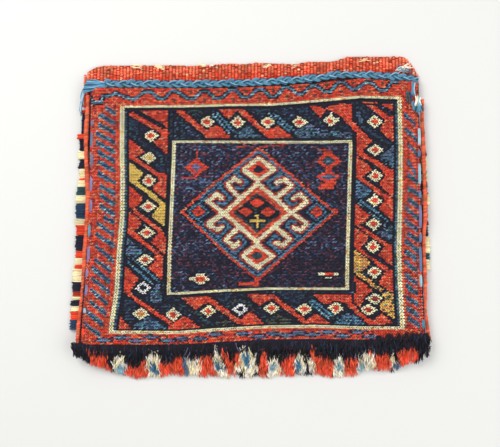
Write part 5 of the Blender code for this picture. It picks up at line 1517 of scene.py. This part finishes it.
class BAG_OT_overcasting(Operator):
    """Blocks of coloured overcasting along the back's sides"""
    bl_idname = "wool_bag.overcasting"
    bl_label = "Overcasting"

    def execute(self, context):
        sizes, dyes = settings(context)
        skin = material("overcasting_wool", wool, strand=0.4)
        rng = np.random.default_rng(29)
        colours = palette(dyes)
        for name, side, blocks, inner, count in OVERCAST_SIDES:
            used = {block[2] for block in blocks}
            worked = [family for family in OVERCAST_FAMILIES if used.intersection(family[1])]
            for order, (family, members, slot) in enumerate(worked):
                rows = [(y, dye_number, reach) for top, low, dye_number, reach in blocks
                        if dye_number in members
                        for y in np.arange(low + 0.5, top - 0.2, sizes.wrap_pitch / MM)]
                y, kinds, reach = (np.array(values) for values in zip(*rows))
                edge = 2.0 * MM * ease((-y - 30) / 60) * (side < 0)
                outer = (reach * LOW_SCALE + rng.normal(0, 0.35, len(y))) * MM
                middle = side * (outer + inner + edge) / 2
                half = (outer - inner - edge) / 2
                centres = np.stack([middle, y * MM, np.full_like(middle, OVERCAST_HEIGHT * MM)],
                                   axis=1) + NUDGE
                wide = np.zeros((len(y), 3))
                wide[:, 0] = half - 0.5 * MM
                wide[:, 1] = rng.normal(0, 0.12, len(y)) * MM
                high = np.tile([0.0, 0.0, OVERCAST_HALF * MM], (len(y), 1))
                forward = np.tile([0.0, 1.0, 0.0], (len(y), 1))
                dyed = colours[kinds.astype(int)] * (0.70 + 0.42 * rng.random((len(y), 1)))
                dyed = np.minimum(dyed, FULL_WHITE)
                points, faces, dyed = wraps(centres, wide, high, forward, OVERCAST_YARN * MM, dyed,
                                            squareness=OVERCAST_SQUARE)
                replaced = [f"{name}_overcast_{number + 1:02d}" for number in range(count)
                            if number % len(worked) == order]
                piece(f"{name}_{family}_overcasting", points, faces, dyed, skin, replaces=replaced)
        return {"FINISHED"}


# Coloured ends of the pile: dye, then its corners across and up, millimetres; the rest is dark
PILE_FIGURES = (
    (RED, -135, -117, -128, -120.5, -121, -120, -117, -128, -116, -133, -124, -134, -134, -127),
    (RED, -105, -126, -98, -131, -92, -126, -88, -122, -86, -139, -104, -139, -106, -131),
    (RED, -79, -118, -74, -127, -66, -125, -60, -120, -56, -124, -57, -139, -78, -139),
    (RED, -47, -121, -32, -121, -29, -128, -28, -139, -46, -139),
    (RED, -24, -116, -21, -116, -12, -131, -12, -139, -19, -139),
    (RED, -13, -116.5, -8, -116.5, -7, -128, -13, -130),
    (RED, 9, -116, 13, -117, 15, -126, 13, -138, 7, -138, 7, -126),
    (RED, 26, -124, 33, -121, 38, -118, 36, -139, 25, -139),
    (RED, 50, -111, 54, -117, 60, -123, 66, -122, 70, -127, 69, -139, 55, -139, 50, -126),
    (RED, 79, -123, 83, -121, 90, -125, 90, -139, 78, -139),
    (RED, 98, -114, 105, -120, 112, -118, 119, -121, 121, -129, 117, -133, 104, -131),
    (RED, 126, -115, 139, -113.5, 140, -122, 135, -130, 126, -128, 123, -121),
    (IVORY, -116, -127, -113, -121, -109, -119.5, -105, -122, -104, -129, -107, -137, -113, -137),
    (IVORY, -88, -126, -86, -119, -81, -116.5, -77, -119, -76, -128, -77, -139, -86, -139),
    (IVORY, -55, -119, -52, -119, -50, -128, -49, -123, -43, -122, -41, -131, -47, -137, -56, -138),
    (IVORY, -31, -113, -28, -116, -24, -123, -19, -136, -27, -138, -31, -128),
    (IVORY, -9, -117, -4, -114.5, 1, -116.5, 4, -122, 6, -133, -4, -136, -9, -128),
    (IVORY, -13, -127, -8, -127, -8, -133, -13, -133),
    (IVORY, 14, -125, 20, -121, 25, -125, 26, -136, 15, -136),
    (IVORY, 36, -126, 41, -118, 45, -120, 47, -132, 38, -136),
    (IVORY, 49, -120, 53, -124, 55, -132, 48, -132),
    (IVORY, 70, -123, 74, -119.5, 78, -124, 81, -136, 71, -136),
    (IVORY, 90, -125, 92, -119, 97, -116.5, 103, -120, 105, -127, 99, -136, 90, -136),
    (IVORY, 116, -117, 119, -118, 124, -126, 121, -132, 118, -126),
    (PALE_BLUE, -113, -130, -109, -127.5, -105.5, -130, -106, -135, -112, -135),
    (BLUE, -84, -125, -81.5, -123, -79, -127, -78.5, -134, -83, -135),
    (SLATE, -57, -123, -55, -121, -53, -128, -51, -137, -56, -137),
    (BLUE, -31, -124, -27, -125, -22, -130, -27, -134),
    (BLUE, -6, -119.5, -3, -118.5, -0.5, -122, -1, -129, -6, -127),
    (PALE_BLUE, 15, -127, 19, -125, 21, -131, 17, -133),
    (BLUE, 37, -127, 41, -123, 43, -130, 39, -134),
    (PALE_BLUE, 72, -126, 76, -124, 78, -131, 74, -133),
    (PALE_BLUE, 91, -128, 95, -126, 97, -132, 92, -136),
    (SLATE, 119, -124, 124, -126, 128, -131, 121, -132),
)


# Rows of knots in the pile, and millimetres from knot to knot
KNOT_ROWS = 9
KNOT_PITCH = 3.9
KNOT_STEP = 1.9
KNOT_GATHER = 0.72

# Where the pile starts below the face, and its lowest tips, across the bag
PILE_TOP = (
    (-150, -108.5), (-141, -108.5), (-136, -111), (-100, -111), (-40, -109.5), (20, -108.2), (60, -107.6),
    (100, -106.6), (108, -103.5), (115, -100.2), (140, -99.8), (150, -101))
PILE_TIPS = (
    (-150, -119), (-140, -125), (-127, -131), (-114.6, -135.5), (-102, -139.3), (-90, -140.4), (-77, -139),
    (-65, -137.5), (-50, -138.5), (-20, -139.5), (10, -139.5), (40, -138), (53, -137), (65, -139.5),
    (78, -140), (90, -137), (96, -134), (102, -132), (115, -135), (121, -135), (127, -130.5), (140, -127),
    (150, -121))

# Height of the pile's top up the bag: it rolls over the fold and comes down to the ground, millimetres
PILE_HEIGHTS = (
    (-139, 1.8), (-135, 3.6), (-130, 7.0), (-125, 10.4), (-120, 13.0), (-115, 14.2), (-111, 14.0),
    (-107.5, 12.4), (-105, 11.6))

# Pile in millimetres: span of its tips and of its ends, reach, highest row, lowest figure, floor, depth
PILE_SPAN = (-147.5, 149.5)
PILE_SIDES = (-151.5, 152.0)
PILE_REACH = (5.5, 9.0)
PILE_HIGHEST = -112.5
PILE_LOWEST = -137.5
PILE_FLOOR = 0.75
PILE_DEPTH = 4.0

# Its crest: how far below the top edge it reaches, how high it stands and what a layer adds
PILE_CREST = (5.5, 12.1, 1.4)

# Thickness along an end, from root to tip, and the mixtures of its dyes
PILE_PROFILE = (0.8, 1.05, 1.1, 1.05, 0.5)
DARK_DYES = (BLACK, NAVY, INDIGO, PLUM, LILAC)
DARK_SHARES = (0.66, 0.24, 0.04, 0.05, 0.01)
PALE_DYES = (IVORY, WHITE)
PALE_SHARES = (0.45, 0.55)


class BAG_OT_pile(Operator):
    """Knotted pile over the fold: dark ends, then red, ivory and blue ones"""
    bl_idname = "wool_bag.pile"
    bl_label = "Pile"

    def execute(self, context):
        sizes, dyes = settings(context)
        colours = palette(dyes)
        rng = np.random.default_rng(53)
        count = sizes.pile_ends
        tip_x = rng.uniform(*PILE_SPAN, count)
        row = rng.integers(0, KNOT_ROWS, count)
        knot = np.round((tip_x + row * KNOT_STEP) / KNOT_PITCH)
        knots = int(knot.max() - knot.min()) + 1
        number = ((knot - knot.min()) + row * knots).astype(int)
        sway = rng.normal(0, 0.26, knots * KNOT_ROWS)[number]
        gather = knot * KNOT_PITCH - row * KNOT_STEP
        tip_x = gather + (tip_x - gather) * KNOT_GATHER + rng.normal(0, 0.25, count)
        tip_x = np.clip(tip_x, *PILE_SPAN)
        edge_low = table_value(PILE_TIPS, tip_x) + 0.8 * np.sin(tip_x / 2.9)
        fold_rise = 2.6 * np.clip(tip_x / 100, -1, 1) + 3.4 * ease((tip_x - 104) / 10)
        share_up = (row + rng.random(count)) / KNOT_ROWS
        rounded = 1.7 * (((tip_x - gather) / KNOT_PITCH * 2) ** 2)
        tip_y = edge_low + share_up * (PILE_HIGHEST + fold_rise * 0.9 - edge_low) + rounded
        kind = np.full(count, NAVY)
        reach = rng.uniform(*PILE_REACH, count)
        seen_y = np.maximum(tip_y, PILE_LOWEST) + 0.38 * reach
        for dye_number, *places in PILE_FIGURES:
            corners = list(zip(places[::2], places[1::2]))
            kind[inside(tip_x, seen_y, corners)] = dye_number
        dark = kind == NAVY
        kind[dark] = rng.choice(DARK_DYES, int(dark.sum()), p=DARK_SHARES)
        undyed = kind == IVORY
        kind[undyed] = rng.choice(PALE_DYES, int(undyed.sum()), p=PALE_SHARES)
        share = np.linspace(0, 1, len(PILE_PROFILE))[None]
        reach = reach[:, None]
        lean = (sway + rng.normal(0, 0.09, count))[:, None]
        layer = rng.uniform(0.45, 1.0, count)[:, None]
        y = tip_y[:, None] + reach * (1 - share)
        top_edge = table_value(PILE_TOP, tip_x)[:, None] + rng.normal(0, 0.5, (count, 1))
        y = np.minimum(y, top_edge)
        curl = rng.normal(0, 1.0, count)[:, None] * ease(share * 1.4 - 0.4)
        x = (tip_x[:, None] + lean * reach * (1 - share) * 0.8
             + 0.35 * np.sin(share * 5 + tip_x[:, None]) + curl)
        x = np.clip(x, *PILE_SIDES)
        top = table_value(PILE_HEIGHTS, y - fold_rise[:, None] * 0.6)
        root = np.clip(top - PILE_DEPTH, PILE_FLOOR, None)
        z = root + (np.maximum(top * layer, PILE_FLOOR) - root) * ease(share * 1.6)
        below, crest, lift = PILE_CREST
        z = np.maximum(z, np.where(y > top_edge - below, crest + lift * layer, PILE_FLOOR))
        paths = np.stack([x, y, z], axis=-1) * MM + NUDGE
        thick = sizes.pile_yarn / 2 * rng.uniform(0.8, 1.15, count)[:, None]
        radii = thick * np.array(PILE_PROFILE)[None]
        tone = 0.70 + 0.30 * rng.random(knots * KNOT_ROWS)[number][:, None] + 0.35 * rng.random((count, 1))
        warm = (kind == RED)[:, None]
        blend = rng.random((count, 1)) * 0.5
        dyed = np.where(warm, colours[RED] * (1 - blend) + colours[SALMON] * blend, colours[kind]) * tone
        skin = material("cut_pile_wool", wool, strand=0.35, fuzz=0.6)
        for name, members, slot, replaced in (
                ("dark_pile", DARK_DYES, "navy_pile", ["pile_band"]),
                ("red_pile", (RED,), "red_pile", [f"pile_tuft_{number:02d}" for number in range(1, 20, 2)]),
                ("ivory_pile", (IVORY, WHITE, BLUE, PALE_BLUE, SLATE), "ivory_pile",
                 [f"pile_tuft_{number:02d}" for number in range(2, 20, 2)])):
            chosen = np.isin(kind, members)
            points, faces, shades = strands(paths[chosen], radii[chosen], 3, dyed[chosen])
            piece(name, points, faces, shades, skin, replaces=replaced)
        return {"FINISHED"}


# Camera: nearly straight down, leaning towards the fold, at the distance that the size needs
CAMERA_TARGET = (-0.0005, -0.0085, 0.012)
CAMERA_TILT = math.radians(6)
CAMERA_DISTANCE = 0.5903
CAMERA_LENS = 50.0
SENSOR_WIDTH = 36.0
CLIP_START = 0.01

# Light from all round, and the lamps: name, place, size and power
AMBIENT = 0.66
LAMPS = (("key", (-0.55, 0.55, 0.95), 0.7, 9.5), ("fill", (0.8, -0.3, 0.9), 1.0, 6.0))
FLOOR_COLOUR = (0.70, 0.70, 0.68, 1)
FLOOR_HALF = 3


class BAG_OT_stage(Operator):
    """Pale floor, soft lamps and the camera"""
    bl_idname = "wool_bag.stage"
    bl_label = "Stage"

    def execute(self, context):
        scene = context.scene
        lens = bpy.data.cameras.new("view")
        lens.lens = CAMERA_LENS
        lens.sensor_width = SENSOR_WIDTH
        lens.clip_start = CLIP_START
        seen = bpy.data.objects.new("view", lens)
        back = (0.0, -math.sin(CAMERA_TILT), math.cos(CAMERA_TILT))
        target = np.array(CAMERA_TARGET) + NUDGE
        seen.location = [spot + step * CAMERA_DISTANCE for spot, step in zip(target, back)]
        seen.rotation_euler = (CAMERA_TILT, 0, 0)
        scene.collection.objects.link(seen)
        scene.camera = seen
        self.floor(scene)
        for name, place, size, power in LAMPS:
            lamp = bpy.data.lights.new(name, "AREA")
            lamp.size = size
            lamp.energy = power
            held = bpy.data.objects.new(name, lamp)
            held.location = place
            across, along, high = place
            held.rotation_euler = (math.atan2(np.hypot(across, along), high), 0,
                                   math.atan2(along, across) + TURN / 4)
            scene.collection.objects.link(held)
        world = bpy.data.worlds.new("studio")
        world.use_nodes = True
        tree = world.node_tree
        tree.nodes.clear()
        path = node(tree, "ShaderNodeLightPath").outputs
        direct = node(tree, "ShaderNodeMath", {"operation": "MAXIMUM"}, i0=path["Is Camera Ray"],
                      i1=path["Is Glossy Ray"]).outputs[0]
        seen_through = node(tree, "ShaderNodeMath", {"operation": "MAXIMUM"}, i0=direct,
                            i1=path["Is Transmission Ray"]).outputs[0]
        level = node(tree, "ShaderNodeMapRange", {}, Value=seen_through, To_Min=AMBIENT,
                     To_Max=1.0).outputs[0]
        sky = node(tree, "ShaderNodeBackground", {}, Color=(1, 1, 1, 1), Strength=level).outputs[0]
        node(tree, "ShaderNodeOutputWorld", {}, Surface=sky)
        scene.world = world
        scene.view_settings.view_transform = "Standard"
        return {"FINISHED"}

    def floor(self, scene):
        """Pale matt floor."""
        mesh = bpy.data.meshes.new("floor")
        far = FLOOR_HALF
        mesh.from_pydata([(-far, -far, 0), (far, -far, 0), (far, far, 0), (-far, far, 0)], [], [(0, 1, 2, 3)])
        skin = blank_material("pale_floor")
        tree = skin.node_tree
        shader = node(tree, "ShaderNodeBsdfPrincipled", {}, Base_Color=FLOOR_COLOUR, Roughness=0.95)
        node(tree, "ShaderNodeOutputMaterial", {}, Surface=shader.outputs[0])
        mesh.materials.append(skin)
        made = bpy.data.objects.new("floor", mesh)
        scene.collection.objects.link(made)


class BAG_PT_panel(Panel):
    """Sizes, dyes and pieces of the wool bag"""
    bl_label = "Wool bag"
    bl_idname = "BAG_PT_panel"
    bl_space_type = "VIEW_3D"
    bl_region_type = "UI"
    bl_category = "Wool bag"

    def draw(self, context):
        for group in settings(context):
            for field in group.__annotations__:
                self.layout.prop(group, field)
        for step in STEPS:
            self.layout.operator(step.bl_idname)


STEPS = (BAG_OT_stage, BAG_OT_strip, BAG_OT_ribbed_end, BAG_OT_face, BAG_OT_mouth_cord,
         BAG_OT_side_cords, BAG_OT_overcasting, BAG_OT_pile)
CLASSES = (BagSizes, BagDyes) + STEPS + (BAG_PT_panel,)


def register():
    """Register the classes and their settings."""
    for kind in CLASSES:
        bpy.utils.register_class(kind)
    bpy.types.Scene.wool_bag_sizes = PointerProperty(type=BagSizes)
    bpy.types.Scene.wool_bag_dyes = PointerProperty(type=BagDyes)


def unregister():
    """Remove the settings and the classes."""
    del bpy.types.Scene.wool_bag_dyes
    del bpy.types.Scene.wool_bag_sizes
    for kind in reversed(CLASSES):
        bpy.utils.unregister_class(kind)


def main():
    """Build the whole bag."""
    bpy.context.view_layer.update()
    register()
    for step in STEPS:
        group, name = step.bl_idname.split(".")
        getattr(getattr(bpy.ops, group), name)()
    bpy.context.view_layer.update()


if __name__ == "__main__":
    main()
